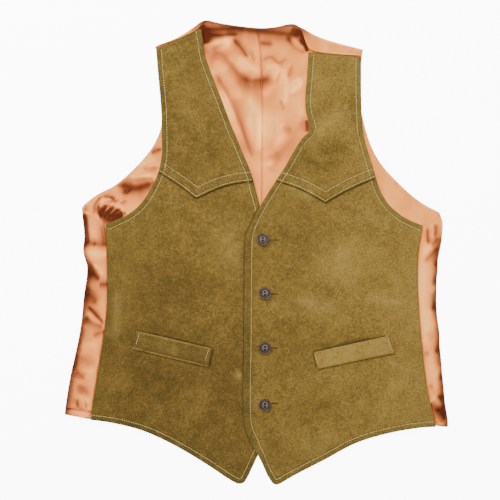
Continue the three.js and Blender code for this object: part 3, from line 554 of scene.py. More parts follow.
def suede():
    material, tree, shader = new_material("suede")
    place = add_node(tree, "ShaderNodeTexCoord").outputs["Object"]
    patches = noise_at(tree, place, 13, detail=3, distortion=0.8)
    stroked = noise_at(tree, place, 75, detail=4, roughness=0.6, distortion=0.4)
    hairs = noise_at(tree, place, 430, detail=4, roughness=0.75, distortion=0.3)
    # The tone holds painted shade and highlight of the creases and the fronts' drift from side to side.
    level = math_node(tree, "ADD", math_node(tree, "MULTIPLY", attribute(tree, "tone"), 0.3), -0.345)
    for part, share in ((patches, 0.26), (stroked, 0.37), (hairs, 1.04)):
        level = math_node(tree, "ADD", level, math_node(tree, "MULTIPLY", part, share))
    colour = ramp_node(tree, level, SUEDE_TONES)
    worn = math_node(tree, "MULTIPLY", attribute(tree, "rubbed"), stroked)
    colour = mix_colour(tree, worn, colour, SUEDE_RUBBED)
    turned = math_node(tree, "SUBTRACT", EDGE_ROW + 0.5, attribute(tree, "edge_gap"), clamp=True)
    groove = 0.0
    for name, row in (("row_gap", 0.0), ("yoke_gap", YOKE_ROWS[0]), ("yoke_gap", YOKE_ROWS[1])):
        gap = math_node(tree, "SUBTRACT", attribute(tree, name), row)
        pulled = math_node(tree, "POWER", GROOVE_EDGE, math_node(tree, "MULTIPLY", gap, gap))
        groove = math_node(tree, "MAXIMUM", groove, pulled)
    # painted shade in the grooves, added to the pressed turned band
    shade = math_node(tree, "ADD", turned, math_node(tree, "MULTIPLY", groove, 0.8))
    colour = mix_colour(tree, shade, colour, SUEDE_EDGE, "MULTIPLY")
    # painted shadow beside what lies over the suede, wider where a pocket mouth gapes
    reach = math_node(tree, "ADD", attribute(tree, "mouth"), BESIDE_REACH)
    ratio = math_node(tree, "DIVIDE", attribute(tree, "cover_gap"), reach)
    beside = math_node(tree, "POWER", GROOVE_EDGE, math_node(tree, "MULTIPLY", ratio, ratio))
    colour = mix_colour(tree, beside, colour, SUEDE_PAINTED_SHADOW, "MULTIPLY")
    tree.links.new(colour, shader.inputs["Base Color"])
    height = math_node(tree, "ADD", hairs, math_node(tree, "MULTIPLY", stroked, 0.9))
    height = math_node(tree, "SUBTRACT", height, groove)
    bump_into(tree, shader, height, 0.0007)
    set_sockets(shader, Roughness=0.95, Sheen_Weight=0.25, Sheen_Roughness=0.5, IOR=1.3,
                Sheen_Tint=(1.0, 0.8, 0.4, 1.0), Specular_Tint=(1.0, 0.8, 0.5, 1.0))
    return material


# %% [markdown]
# The buttons are dark polished horn or its imitation: cloudy brown with a soft gloss. The
# sewing thread is thick, straw-coloured and twisted, so its bump runs round it in fine bands.


# %% The finishes of buttons and thread
# Colours of the horn from the middle out; the nearly black groove inside the rim and the outer edge are
# painted shade.
BUTTON_RINGS_AND_SHADE = [
    (0.00, (0.120, 0.100, 0.088)),
    (0.48, (0.085, 0.065, 0.052)),
    (0.64, (0.012, 0.007, 0.003)),
    (0.73, (0.022, 0.012, 0.007)),
    (0.83, (0.120, 0.075, 0.058)),
    (0.91, (0.080, 0.047, 0.034)),
    (1.00, (0.005, 0.002, 0.001)),
]


def button_finish():
    material, tree, shader = new_material("button")
    place = add_node(tree, "ShaderNodeTexCoord").outputs["Object"]
    cloud = noise_at(tree, place, 260, detail=4, roughness=0.6, distortion=1.2)
    rings = ramp_node(tree, attribute(tree, "ring"), BUTTON_RINGS_AND_SHADE)
    clouds = ramp_node(tree, cloud, [(0.3, (0.35, 0.30, 0.28)), (0.75, (1.0, 1.0, 1.0))])
    colour = mix_colour(tree, 1.0, rings, clouds, "MULTIPLY")
    tree.links.new(colour, shader.inputs["Base Color"])
    bump_into(tree, shader, noise_at(tree, place, 900), 0.00005)
    set_sockets(shader, Roughness=0.3, IOR=1.5, Specular_IOR_Level=0.09)
    return material


def thread_finish(name, pale, deep, sheen=0.1):
    material, tree, shader = new_material(name)
    place = add_node(tree, "ShaderNodeTexCoord").outputs["Object"]
    fuzz = noise_at(tree, place, 1400, detail=3)
    tree.links.new(ramp_node(tree, fuzz, [(0.3, deep), (0.7, pale)]), shader.inputs["Base Color"])
    bump_into(tree, shader, weave_height(tree, place, 1800), 0.0001)
    set_sockets(shader, Roughness=0.85, Sheen_Weight=sheen, Sheen_Tint=(1.0, 0.85, 0.5, 1.0),
                Specular_IOR_Level=2 * sheen)
    return material


FINISHES = {
    "suede": suede(),
    "satin": satin("satin", fold_shading=0.3),
    "lining": satin("lining", fold_shading=0.3),
    "button": button_finish(),
    "thread": thread_finish("thread", (0.60, 0.50, 0.21), (0.35, 0.28, 0.10)),
}
SATIN_THREAD = thread_finish("satin thread", (0.50, 0.16, 0.04), (0.26, 0.07, 0.016))
HOLE_THREAD = thread_finish(
    "buttonhole thread", (0.035, 0.026, 0.008), (0.014, 0.010, 0.003), sheen=0.0)
# nearly black: the thread in the buttons' holes and the painted shade of the holes
KNOT_THREAD_AND_HOLE_SHADE = thread_finish(
    "button thread and hole shade", (0.006, 0.004, 0.002), (0.003, 0.002, 0.001), sheen=0.0)
print("finishes:", ", ".join(FINISHES))


# %% [markdown]
# Every piece is linked, finished and tied to the vest in the same way. One function does it, so
# that no piece is left without its finish or without the solid that it stands for. The wall is
# a Solidify modifier, because the shell can then be shaped as one thin skin.

# %% Adding a finished piece
def add_piece(name, mesh, slot, *nodes, material=None):
    """Links a mesh as a piece that lies still with the vest, and hides what it stands for"""
    piece = bpy.data.objects.new(name, mesh)
    bpy.context.scene.collection.objects.link(piece)
    mesh.materials.clear()
    mesh.materials.append(material or FINISHES[slot])
    mesh.shade_smooth()
    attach(piece, "root")
    if nodes:
        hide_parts(*nodes)
    print(name, len(mesh.polygons), "faces")
    return piece


def thicken(piece, thickness):
    """Gives a shell its wall, downwards, so that its upper side stays where it is"""
    wall = piece.modifiers.new("wall", "SOLIDIFY")
    wall.thickness = thickness * MM
    wall.offset = -1
    return piece


# %% [markdown]
# ## Suede panels
# A panel starts as one face with the outline of its pattern. Insets give it a few rings along
# the edge, where the hide is turned under, pressed and stitched, and bisecting it both ways
# gives an even net inside. The net takes gentle form without pinching. Pulling a grid to the
# outline would be neater on paper, but it skews the net at the corners.


# %% A flat blank
def blank(outline, rings, cell):
    bm = bmesh.new()
    corners = [bm.verts.new((p.x * MM, (p.y + DRAWING_RISE) * MM, 0)) for p in outline]
    inner = bm.faces.new(corners)
    inner.normal_update()
    if inner.normal.z < 0:
        inner.normal_flip()
    for width in rings:
        bmesh.ops.inset_region(
            bm, faces=[inner], thickness=width * MM, use_boundary=True, use_even_offset=True)
    spans = [[vert.co[axis] / (cell * MM) for vert in inner.verts] for axis in (0, 1)]
    geometry = [inner, *inner.edges]
    for span, normal in zip(spans, (Vector((1, 0, 0)), Vector((0, 1, 0)))):
        for line in range(math.ceil(min(span)), math.floor(max(span)) + 1):
            geometry = bmesh.ops.bisect_plane(
                bm, geom=geometry, plane_co=normal * line * cell * MM, plane_no=normal,
                dist=0.02 * MM)["geom"]
    return bm


# %% [markdown]
# The turned edge rolls down over the last two millimetres. Behind it the double hide stands up
# a little, and the stitches pucker it unevenly, as their tension varies. The groove that they
# pull is finer than the net, so each point carries its distance from edge and row, and the
# material draws the groove from that, as a bump with painted shade in it.

# %% The relief of a suede edge
EDGE_RINGS = (0.6, 1.2, 2.0)
ROLL = {"reach": 2.4, "drop": 0.85}
BAND = {"rise": 0.25, "middle": 4.2, "reach": 2.6}
PUCKER = {"height": 0.3, "pitch": 9.0, "reach": 6.0}
FAR = 50.0                         # a distance from an edge that the panel doesn't have


def dense(line, spacing=0.8):
    """The same line with its points closer together"""
    result = []
    for a, b in zip(line, line[1:]):
        count = max(1, math.ceil((b - a).length / spacing))
        result += [a.lerp(b, i / count) for i in range(count)]
    return [*result, line[-1]]


def from_lines(flat, lines):
    """Distance of each flat point from the nearest line"""
    near = [p for line in lines for p in dense(line)]
    tree = KDTree(len(near))
    for i, p in enumerate(near):
        tree.insert((p.x, p.y, 0), i)
    tree.balance()
    return np.array([tree.find((x, y, 0))[2] for x, y in flat])


def within(flat, outline):
    """True for each flat point inside an outline"""
    inside = np.zeros(len(flat), bool)
    x, y = flat[:, 0], flat[:, 1]
    for (ax, ay), (bx, by) in zip(outline, [*outline[1:], outline[0]]):
        crosses = (ay > y) != (by > y)
        inside ^= crosses & (x < (bx - ax) * (y - ay) / ((by - ay) or 1e-9) + ax)
    return inside


# where the row of the overlapping front edge lies deeper, and over what height that fades
FRONT_EDGE = {"low": -300, "low_fade": 50, "high": 34, "high_fade": 12, "side": 12}


def row_place(x, y, lapped):
    """How far from the edge the row of stitches runs at a place, in millimetres"""
    if not lapped:
        return EDGE_ROW + 0 * x
    over_low = smoothstep((y - FRONT_EDGE["low"]) / FRONT_EDGE["low_fade"])
    under_high = smoothstep((FRONT_EDGE["high"] - y) / FRONT_EDGE["high_fade"])
    return EDGE_ROW + FRONT_EDGE_EXTRA * over_low * under_high * (x < FRONT_EDGE["side"])


def edge_relief(flat, from_edge, from_row):
    """Height that turned edges and rows of stitches give each flat point"""
    wander = np.array([noise.noise(Vector((x, y, 7)) / PUCKER["pitch"]) for x, y in flat])
    height = -ROLL["drop"] * np.clip(1 - from_edge / ROLL["reach"], 0, 1) ** 2
    height += BAND["rise"] * np.exp(-(((from_edge - BAND["middle"]) / BAND["reach"]) ** 2))
    return height + PUCKER["height"] * wander * np.exp(-((from_row / PUCKER["reach"]) ** 2))


# %% [markdown]
# Large soft waves come from the solids. What is added here is smaller: the slack strap at the
# wearer's left, a few dents with their painted shade and highlight, and the places where the nap
# is rubbed pale. The rows of a pocket's mouth only widen or narrow the painted shadow beside its
# welt, where the pocket gapes or is sewn tight.

# %% Creases and rubbed places of the suede
RIGHT_FRONT_CREASES = [
    Crease([(-160, -98), (-110, -110), (-62, -123)], 14, -0.7, -0.2, 0.1),
    Crease([(-150, -20), (-110, -40), (-60, -36)], 30, -0.5, -0.12),
    Crease([(-190, -150), (-120, -175), (-60, -172)], 34, -0.5, -0.25),
    Crease([(-50, 40), (-40, -10), (-46, -60)], 26, 0.5, 0.1),
]
LEFT_FRONT_CREASES = [
    Crease([(82, -127), (130, -116), (178, -106)], 14, -1.1, -0.3, 0.12),
    Crease([(55, -20), (120, -30), (190, -20)], 34, 0.5, 0.12),
    Crease([(50, -200), (110, -210), (190, -190)], 40, -0.5, -0.1),
    Crease([(60, 20), (110, 30), (170, 20)], 26, -0.4, -0.1),
]
RIGHT_YOKE_CREASES = [
    Crease([(-110, 260), (-100, 200), (-104, 140)], 30, 0.5, 0.12),
    Crease([(-125, 250), (-118, 190), (-122, 140)], 16, -0.4, -0.15),
]
LEFT_YOKE_CREASES = [
    Crease([(74, 150), (98, 172), (124, 198)], 14, 1.0, 0.5),
    Crease([(84, 128), (104, 140), (126, 150)], 20, -1.1, -0.4),
    Crease([(74, 190), (82, 216), (84, 250)], 16, 0.7, 0.3),
    Crease([(60, 128), (90, 118), (120, 120)], 14, -0.6, -0.3),
    Crease([(128, 160), (134, 190), (130, 230)], 12, -0.5, -0.25),
]
RUBBED = [
    Crease([(46, -63), (80, -72), (121, -86)], 18, 0, 0.5),
    Crease([(142, -70), (170, -66), (209, -72)], 9, 0, 0.55),
    Crease([(60, -10), (110, -6), (160, -14)], 40, 0, 0.25),
    Crease([(38, 92), (60, 84), (84, 74)], 12, 0, 0.5),
    Crease([(-28, -161), (-22, -167), (-18, -165)], 10, 0, 0.7),
    Crease([(-40, 60), (-34, 20), (-36, -40)], 22, 0, 0.22),
    Crease([(-190, -40), (-188, -90), (-194, -130)], 12, 0, 0.3),
    Crease([(120, 40), (150, 50), (190, 30)], 16, 0, 0.25),
    Crease([(40, -260), (80, -262), (120, -240)], 18, 0, 0.25),
]
# These rows widen or narrow the painted shadow beside the welts.
POCKET_MOUTHS = [
    Crease([(84, -134), (130, -122.5), (178, -111)], 16, 0, 3.4, 0.45),
    Crease([(83, -159), (136, -148), (188, -137)], 10, 0, -0.5, 0.02),
    Crease([(188, -137), (179, -114)], 10, 0, -1.0, 0.02),
    Crease([(78, -136), (83, -159)], 8, 0, -0.4, 0.02),
    Crease([(-130, -112), (-100, -120), (-72, -127)], 14, 0, 0.5, 0.3),
    Crease([(-168, -131), (-116, -143.5), (-64, -156)], 10, 0, -1.1, 0.02),
    Crease([(-168, -131), (-162, -107)], 10, 0, -1.1, 0.02),
]
MOUTH_LIMITS = (-1.2, 4.0)         # by which the shade beside a cover may narrow or widen
# The fronts are darker towards the wearer's right, more so low down there, and lighter towards the wearer's
# left.
SIDE_TO_SIDE_TONE = {"left": -0.20, "right": 0.42, "low": -0.22, "half_width": 220, "half_length": 260}
print("creases of the fronts:", len(RIGHT_FRONT_CREASES + LEFT_FRONT_CREASES))
print("creases of the yokes:", len(RIGHT_YOKE_CREASES + LEFT_YOKE_CREASES))


# %% [markdown]
# A panel is cut flat, dropped on its solid's form, given its small relief, and told how far each
# point is from the edges and rows that its finish draws. Sculpting the panels by hand would be
# freer, but it couldn't follow a changed solid.

# %% A suede panel
def from_covers(flat, covers):
    """Distance of each flat point from the edge of what lies over it, negative under that"""
    nearest = np.full(len(flat), FAR)
    for outline in covers:
        outline = [Vector(p) for p in outline]
        gap = from_lines(flat, [[*outline, outline[0]]])
        gap[within(flat, outline)] *= -1
        nearest = np.minimum(nearest, gap)
    return nearest


def suede_panel(name, node, outline, edges, creases, cell=5.0, yoke_edge=None, lapped=False,
                covers=()):
    """A finished panel on its solid's form, with the search tree of its upper side"""
    form = form_of(node)
    bm = blank(outline, EDGE_RINGS, cell)
    for vert in bm.verts:
        vert.co.z = height_on(form, vert.co)
    mesh = mesh_of(bm, name)
    places = points_of(mesh)
    flat = places[:, :2] / MM - (0, DRAWING_RISE)
    from_edge = from_lines(flat, edges)
    from_row = from_edge - row_place(flat[:, 0], flat[:, 1], lapped)
    from_yoke = from_lines(flat, [yoke_edge]) if yoke_edge else np.full(len(flat), FAR)
    height, tone = crease_relief(flat, creases)
    height += edge_relief(flat, np.minimum(from_edge, from_yoke), from_row)
    places[:, 2] = np.maximum(places[:, 2] + height * MM, SUEDE * MM)
    set_points(mesh, places)
    sideways = np.clip(flat[:, 0] / SIDE_TO_SIDE_TONE["half_width"], -1, 1)
    shade = np.where(sideways < 0, -sideways * SIDE_TO_SIDE_TONE["left"], sideways * SIDE_TO_SIDE_TONE["right"])
    shade += SIDE_TO_SIDE_TONE["low"] * smoothstep(-flat[:, 1] / SIDE_TO_SIDE_TONE["half_length"]) * (sideways < 0)
    paint(mesh, "tone", tone + shade)
    paint(mesh, "edge_gap", from_edge)
    paint(mesh, "row_gap", from_row)
    paint(mesh, "yoke_gap", from_yoke)
    paint(mesh, "cover_gap", from_covers(flat, covers))
    paint(mesh, "mouth", np.clip(crease_relief(flat, POCKET_MOUTHS)[1], *MOUTH_LIMITS))
    paint(mesh, "rubbed", np.clip(crease_relief(flat, RUBBED)[1], 0, 1))
    tree = tree_of(mesh)
    return thicken(add_piece(name, mesh, "suede", node), SUEDE), tree


# %% [markdown]
# A front's top edge runs hidden under the yoke, parallel to the yoke's own edge. The yoke is cut
# to the same armhole and neckline above that line.


# %% The pattern of one side
ROW_TURN = 30                      # height at which a front edge's row turns along the neck


def pattern(side, mirror):
    """Lines and closed outlines of one front and its yoke, where mirror is 1 or -1"""
    lines = {name: curve(side[name]) for name in ("seam", "armhole", "hem", "neckline", "shoulder")}
    outer, inner = (curve(half) for half in side["yoke"])
    lines["yoke"] = [*outer, *inner[1:]]
    under = [p + Vector((0, YOKE_LAP)) for p in lines["yoke"]]
    under = clear_of(under[2:-2], lines["armhole"], lines["neckline"])
    ends = [lines["yoke"][0], lines["yoke"][-1]]
    lines["front"] = closed(
        lines["seam"], up_to(lines["armhole"], ends[0].y + YOKE_LAP), under,
        reversed(up_to(lines["neckline"], ends[1].y + YOKE_LAP)), reversed(lines["hem"]))
    lines["yoke outline"] = closed(
        lines["yoke"], clear_of(above(lines["neckline"], ends[1].y), ends),
        reversed(lines["shoulder"]), reversed(clear_of(above(lines["armhole"], ends[0].y), ends)))
    lines["front edges"] = [lines["armhole"], lines["hem"], lines["neckline"]]
    lines["armhole row"] = shifted(lines["armhole"], EDGE_ROW * mirror)
    lines["hem row"] = shifted(lines["hem"], -EDGE_ROW * mirror)
    if mirror > 0:
        for p in lines["hem row"]:
            p.x += row_place(p.x, p.y, lapped=True) - EDGE_ROW
    lines["neck row"] = shifted(lines["neckline"], -EDGE_ROW * mirror)
    lines["front row"] = [*lines["hem row"], *above(lines["neck row"], ROW_TURN)]
    lines["yoke rows"] = [shifted(lines["yoke"], -distance * mirror) for distance in YOKE_ROWS]
    return lines


right = pattern(RIGHT, mirror=-1)
left = pattern(LEFT, mirror=1)
print("points on the front outlines:", len(right["front"]), len(left["front"]))

# %% [markdown]
# The fronts are cut from suede, and the left one laps over the right one where they button. The
# yokes, the welts and the overlapping front get a thin painted shadow in the nap beside them.
# Light alone would leave that shadow too weak at this size, so the covers are named here.

# %% The two fronts
WELT_OUTLINES = {
    "right": [(-168, -131), (-64, -156), (-59, -131), (-162, -107)],
    "left": [(83, -159), (188, -137), (179, -114), (78, -136)],
}
front_right, right_tree = suede_panel(
    "suede_front_right", "front_right", right["front"], right["front edges"],
    RIGHT_FRONT_CREASES,
    covers=[right["yoke outline"], left["front"], left["yoke outline"], WELT_OUTLINES["right"]])
front_left, left_tree = suede_panel(
    "suede_front_left", "front_left", left["front"], left["front edges"],
    LEFT_FRONT_CREASES, lapped=True, covers=[left["yoke outline"], WELT_OUTLINES["left"]])

# %% [markdown]
# A western yoke is a second layer of suede over the shoulder, cut to a point and sewn down with
# two rows. Its net is finer than that of the fronts, because it is small and its strap creases.

# %% The two yokes
yoke_right, right_yoke_tree = suede_panel(
    "suede_yoke_right", "yoke_right", right["yoke outline"],
    [right["armhole"], right["neckline"]], RIGHT_YOKE_CREASES, cell=4.0,
    yoke_edge=right["yoke"])
yoke_left, left_yoke_tree = suede_panel(
    "suede_yoke_left", "yoke_left", left["yoke outline"],
    [left["armhole"], left["neckline"]], LEFT_YOKE_CREASES, cell=4.0,
    yoke_edge=left["yoke"])

# %% [markdown]
# ## Satin back and lining
# The back is one closed skin with two faces, so its solid is copied whole and rounded. It wraps
# round the sides and over the shoulders, and only those strips show from the front. They are
# divided finely and creased, and the cloth below them stays flat where it rests.

# %% Where the satin shows
SHOWN = {
    "right side": [(-262, 90), (-190, 90), (-190, -240), (-262, -240)],
    "left side": [(205, 80), (262, 80), (262, -245), (205, -245)],
    "right armhole": [(-240, 30), (-240, 110), (-165, 150), (-120, 150), (-120, 90), (-175, 30)],
    "neck": [(-85, 318), (85, 300), (78, 150), (20, 20), (-20, 40), (-70, 220)],
    "left armhole": [(215, 20), (262, 20), (262, 90), (215, 90)],
    "right hollow": [(-222, 40), (-222, 80), (-165, 100), (-165, 70), (-180, 44)],
}
FINEST = {"right hollow": 1.2}     # longest edge in an area, where it isn't the usual
USUAL = 2.4
HALVINGS = 3
LYING = 1.2                        # height below which the cloth rests unseen
print("areas where the satin shows:", ", ".join(SHOWN))


def divided_where_shown(mesh, areas):
    """The mesh with its edges halved until they are short inside the shown areas"""
    bm = bmesh.new()
    bm.from_mesh(mesh)
    for _ in range(HALVINGS):
        flat = np.array([(v.co.x, v.co.y) for v in bm.verts]) / MM
        longest = np.full(len(flat), np.inf)
        for area in areas:
            longest[within(flat, SHOWN[area])] = FINEST.get(area, USUAL)
        longest[np.array([v.co.z for v in bm.verts]) < LYING * MM] = np.inf
        bm.verts.index_update()
        long = [e for e in bm.edges
                if e.calc_length() > MM * max(longest[v.index] for v in e.verts)]
        bmesh.ops.subdivide_edges(bm, edges=long, cuts=1, use_grid_fill=True)
    return mesh_of(bm, "fine")


# %% [markdown]
# The creases run across the sides, because the satin is caught between the seam and the fold
# and slumps there. Round the neck they hang from the edge like a cowl.

# %% Creases of the right side
RIGHT_SIDE_CREASES = [
    # The rows with no height only paint broad shade over the side.
    Crease([(-226, 72), (-218, 0), (-216, -100)], 34, 0, -0.30, 0.12),
    Crease([(-206, 44), (-208, 26), (-207, 8)], 12, -0.5, -0.3, 0.12),
    Crease([(-226, -96), (-232, -160), (-240, -215)], 44, 0, -0.22, 0.1),
    Crease([(-233, 57), (-231, 38), (-231, 13)], 7, -1.6, -1.0, 0.2),
    Crease([(-223, 57), (-222, 34), (-222, 13)], 9, 1.0, 0.45, 0.2),
    Crease([(-213, 44), (-208, 24), (-204, 10)], 9, -0.8, -0.35),
    Crease([(-238, 26), (-228, 17), (-217, 9)], 11, -1.4, -0.6, 0.12),
    Crease([(-222, 12), (-210, 11), (-201, 12)], 9, -1.4, -0.6, 0.1),
    Crease([(-236, 2), (-217, 1), (-203, -3)], 13, 1.6, 0.65, 0.1),
    Crease([(-235, -12), (-222, -26), (-212, -38)], 10, -3.0, -0.95, 0.12),
    Crease([(-221, -10), (-212, -22), (-207, -34)], 6, 1.0, 0.6),
    Crease([(-214, -43), (-200, -42)], 9, -1.2, -0.75, 0.2),
    Crease([(-234, -48), (-223, -59), (-215, -70)], 14, -2.4, -0.6, 0.2),
    Crease([(-229, -71), (-216, -85), (-206, -96)], 5, -1.8, -1.1, 0.15),
    Crease([(-231, -78), (-220, -89), (-209, -98)], 6, 1.3, 0.6),
    Crease([(-233, -86), (-222, -95), (-206, -102)], 10, -1.6, -0.7, 0.15),
    Crease([(-222, -112), (-210, -108), (-203, -105)], 7, -1.0, -0.6, 0.2),
    Crease([(-238, -120), (-226, -123), (-212, -121)], 12, 0.9, 0.3),
    Crease([(-242, -135), (-245, -148), (-248, -160)], 11, -1.0, -0.4),
    Crease([(-240, -140), (-228, -146), (-214, -145)], 12, -1.1, -0.35),
    Crease([(-248, -159), (-238, -166), (-230, -172)], 9, -1.1, -0.5),
    Crease([(-238, -157), (-226, -160), (-216, -160)], 9, 0.8, 0.35),
    Crease([(-246, -178), (-234, -186), (-222, -195)], 10, -1.3, -0.5),
    Crease([(-240, -190), (-230, -198), (-222, -205)], 8, 0.8, 0.35),
    Crease([(-250, -196), (-242, -206), (-232, -214)], 9, -0.8, -0.35),
    Crease([(-242, -198), (-242, -210)], 3, -0.5, -0.6, 0.1),
    Crease([(-231, -200), (-230, -213)], 3, -0.5, -0.5, 0.1),
    Crease([(-258, -211), (-240, -212), (-222, -216)], 2.6, -0.6, -0.6, 0.05),
]
print("creases of the right side:", len(RIGHT_SIDE_CREASES))

# %% [markdown]
# The left side lies smoother, and a narrow strip of it shows. Most of its folds slant up and
# outwards, away from the seam, so they were placed one by one and not mirrored.

# %% Creases of the left side
LEFT_SIDE_CREASES = [
    # The first three rows have no height: a painted highlight down the strip and painted shade at its lower
    # corner.
    Crease([(229, 12), (226, -60), (231, -130)], 14, 0, 0.42, 0.1),
    Crease([(234, -130), (240, -165), (246, -190)], 10, 0, 0.3, 0.2),
    Crease([(236, -204), (247, -214), (258, -224)], 30, 0, -0.8, 0.03),
    Crease([(233, 37), (233, 25), (234, 9)], 8, -1.6, -0.9, 0.25),
    Crease([(244, 42), (244, 32), (243, 20)], 8, -1.4, -0.8, 0.25),
    Crease([(238, 44), (238, 30), (238, 16)], 5, 0.9, 0.4),
    Crease([(226, -14), (237, -3), (248, 10)], 8, -1.6, -0.7, 0.2),
    Crease([(237, 7), (247, 23)], 6, -1.0, -0.5),
    Crease([(224, 2), (232, 6), (238, 14)], 7, 0.8, 0.35),
    Crease([(249, -6), (241, -19)], 6, -1.0, -0.5),
    Crease([(249, -29), (238, -46)], 9, -1.3, -0.5),
    Crease([(246, -38), (234, -56)], 8, 0.9, 0.35),
    Crease([(249, -58), (237, -80)], 9, -1.2, -0.45),
    Crease([(230, -72), (238, -90), (240, -108)], 10, 0.8, 0.3),
    Crease([(254, -118), (241, -138)], 10, -1.4, -0.5),
    Crease([(232, -104), (236, -122)], 9, -0.8, -0.3),
    Crease([(258, -152), (248, -175)], 9, -1.3, -0.5),
    Crease([(250, -150), (240, -170)], 9, 0.9, 0.35),
    Crease([(228, -134), (236, -140)], 7, -0.9, -0.45),
    Crease([(233, -178), (241, -183)], 7, -0.9, -0.45),
    Crease([(243, -191), (260, -204)], 9, -1.2, -0.6),
    Crease([(238, -194), (254, -209)], 7, 0.9, 0.5),
    Crease([(240, -211), (261, -217)], 8, -0.9, -0.4),
]
print("creases of the left side:", len(LEFT_SIDE_CREASES))

# %% [markdown]
# In the neck the slack satin hangs in broad folds below the edge of the back. Wide rows with no
# height paint broad shade, other wide rows make the large soft forms, and narrow ones add their
# sharp bottoms and the bright ridges beside them, in painted shade and highlight. One list serves
# both halves, so no fold breaks at the middle seam.

# %% Creases of the neck, on both halves of the lining
NECK_CREASES = [
    Crease([(-66, 268), (-42, 254), (-26, 240), (-8, 232)], 24, 0, -0.15, 0.1),
    Crease([(-70, 308), (-68, 296), (-65, 284)], 20, 0, -0.7, 0.1),
    Crease([(48, 306), (58, 297), (67, 284)], 17, 0, -0.55, 0.1),
    Crease([(-60, 246), (-50, 228), (-40, 206)], 18, 0, -0.45, 0.2),
    Crease([(-32, 190), (-22, 168), (-15, 147), (-8, 128)], 20, 0, -0.35, 0.25),
    Crease([(68, 190), (52, 160), (34, 135), (18, 106)], 22, 0, -0.38, 0.1),
    Crease([(-80, 302), (-40, 304), (0, 301), (60, 295)], 22, -0.6, -0.6, 0.03),
    Crease([(-72, 305), (-66, 292), (-40, 292)], 14, -0.4, -0.5, 0.2),
    Crease([(-71, 272), (-50, 286), (-30, 295)], 13, 1.8, 0.35, 0.25),
    Crease([(-40, 273), (-24, 259), (-6, 250), (8, 250)], 13, 2.0, 0.4, 0.25),
    Crease([(-62, 257), (-48, 239), (-34, 222), (-17, 211)], 24, 2.4, 0.35, 0.25),
    Crease([(5, 211), (20, 228), (27, 247), (29, 260)], 11, 1.8, 0.4, 0.25),
    Crease([(37, 255), (39, 224), (33, 190)], 9, 1.4, 0.25),
    Crease([(44, 218), (54, 230), (63, 241)], 9, 1.7, 0.5),
    Crease([(-2, 200), (2, 164), (-2, 136)], 22, 2.2, 0.3, 0.3),
    Crease([(19, 200), (29, 165), (22, 143)], 22, 1.8, 0.25, 0.3),
    Crease([(60, 222), (56, 196), (60, 176)], 18, 1.6, 0.2, 0.3),
    Crease([(-50, 228), (-34, 189), (-17, 150), (-5, 121)], 10, 1.6, 0.35, 0.15),
    Crease([(12, 243), (16, 226), (10, 214)], 14, -1.0, -0.2),
    Crease([(-34, 236), (-12, 226), (8, 227), (30, 238)], 28, -0.8, -0.3, 0.2),
    Crease([(14, 292), (30, 291), (52, 290)], 12, -0.4, -0.2, 0.2),
    Crease([(-74, 304), (-49, 305), (-22, 305), (8, 302), (39, 299), (60, 298)], 8, -1.2, -0.3, 0.05),
    Crease([(-72, 314), (-72, 298), (-70, 282)], 10, -1.2, -1.1, 0.2),
    Crease([(-69, 297), (-49, 296), (-35, 297), (-21, 297)], 6, -0.9, -0.8, 0.2),
    Crease([(-64, 284), (-49, 286), (-33, 284)], 9, 1.0, 0.45),
    Crease([(-84, 276), (-66, 276), (-48, 272), (-36, 259), (-24, 245), (-12, 236), (3, 235), (28, 240)],
           20, -2.0, -0.62, 0.15),
    Crease([(-60, 262), (-48, 256), (-38, 244)], 10, 1.0, 0.4),
    Crease([(-33, 293), (-19, 278), (-10, 263)], 9, -1.7, -0.95, 0.2),
    Crease([(-26, 268), (-16, 254), (-4, 248)], 9, 1.1, 0.5),
    Crease([(-9, 278), (-5, 268), (-3, 257)], 5, -0.9, -0.5),
    Crease([(2, 287), (14, 285), (26, 284)], 9, -1.3, -0.8),
    Crease([(6, 261), (20, 267), (31, 259), (44, 269)], 7, -1.2, -0.55, 0.2),
    Crease([(10, 252), (22, 255), (32, 250)], 7, 0.9, 0.4),
    Crease([(9, 246), (19, 238), (23, 224)], 10, -1.1, -0.2),
    Crease([(49, 258), (42, 236)], 7, -1.2, -0.5),
    Crease([(34, 249), (25, 229)], 7, -1.2, -0.5),
    Crease([(39, 256), (34, 228)], 6, 1.0, 0.4),
    Crease([(45, 215), (53, 227), (63, 237)], 8, 0.9, 0.4),
    Crease([(31, 210), (35, 202), (38, 192)], 3.5, -1.0, -0.6),
    Crease([(-57, 246), (-41, 221), (-33, 204), (-26, 187), (-17, 165), (-12, 148), (-4, 124)],
           18, -1.8, -0.7, 0.1),
    Crease([(-64, 256), (-44, 211), (-27, 173), (-13, 138)], 9, 1.0, 0.4),
    Crease([(-20, 222), (-8, 200), (0, 172), (4, 150)], 18, 1.2, 0.35),
    Crease([(8, 129), (24, 133), (32, 143)], 9, -1.2, -0.3),
    Crease([(7, 123), (24, 124)], 8, 0.9, 0.4),
    Crease([(32, 174), (42, 169), (51, 170)], 11, -1.1, -0.5),
    Crease([(69, 182), (71, 164)], 9, -1.6, -1.0, 0.1),
    Crease([(40, 297), (52, 281), (70, 271)], 9, -1.4, -0.6, 0.2),
    Crease([(47, 296), (58, 283), (70, 275)], 7, 1.0, 0.5),
    Crease([(58, 292), (64, 283), (70, 274)], 9, -1.0, -0.7, 0.15),
    Crease([(55, 309), (61, 300), (66, 287), (71, 273)], 5.5, -0.6, -1.5, 0.06),
]
print("creases of the neck:", len(NECK_CREASES))

# %% [markdown]
# Under the wearer's right arm the lining is gathered where it meets the side seam, so its rows
# are short, close and deep there. Above them it falls in two wide folds towards the armhole.

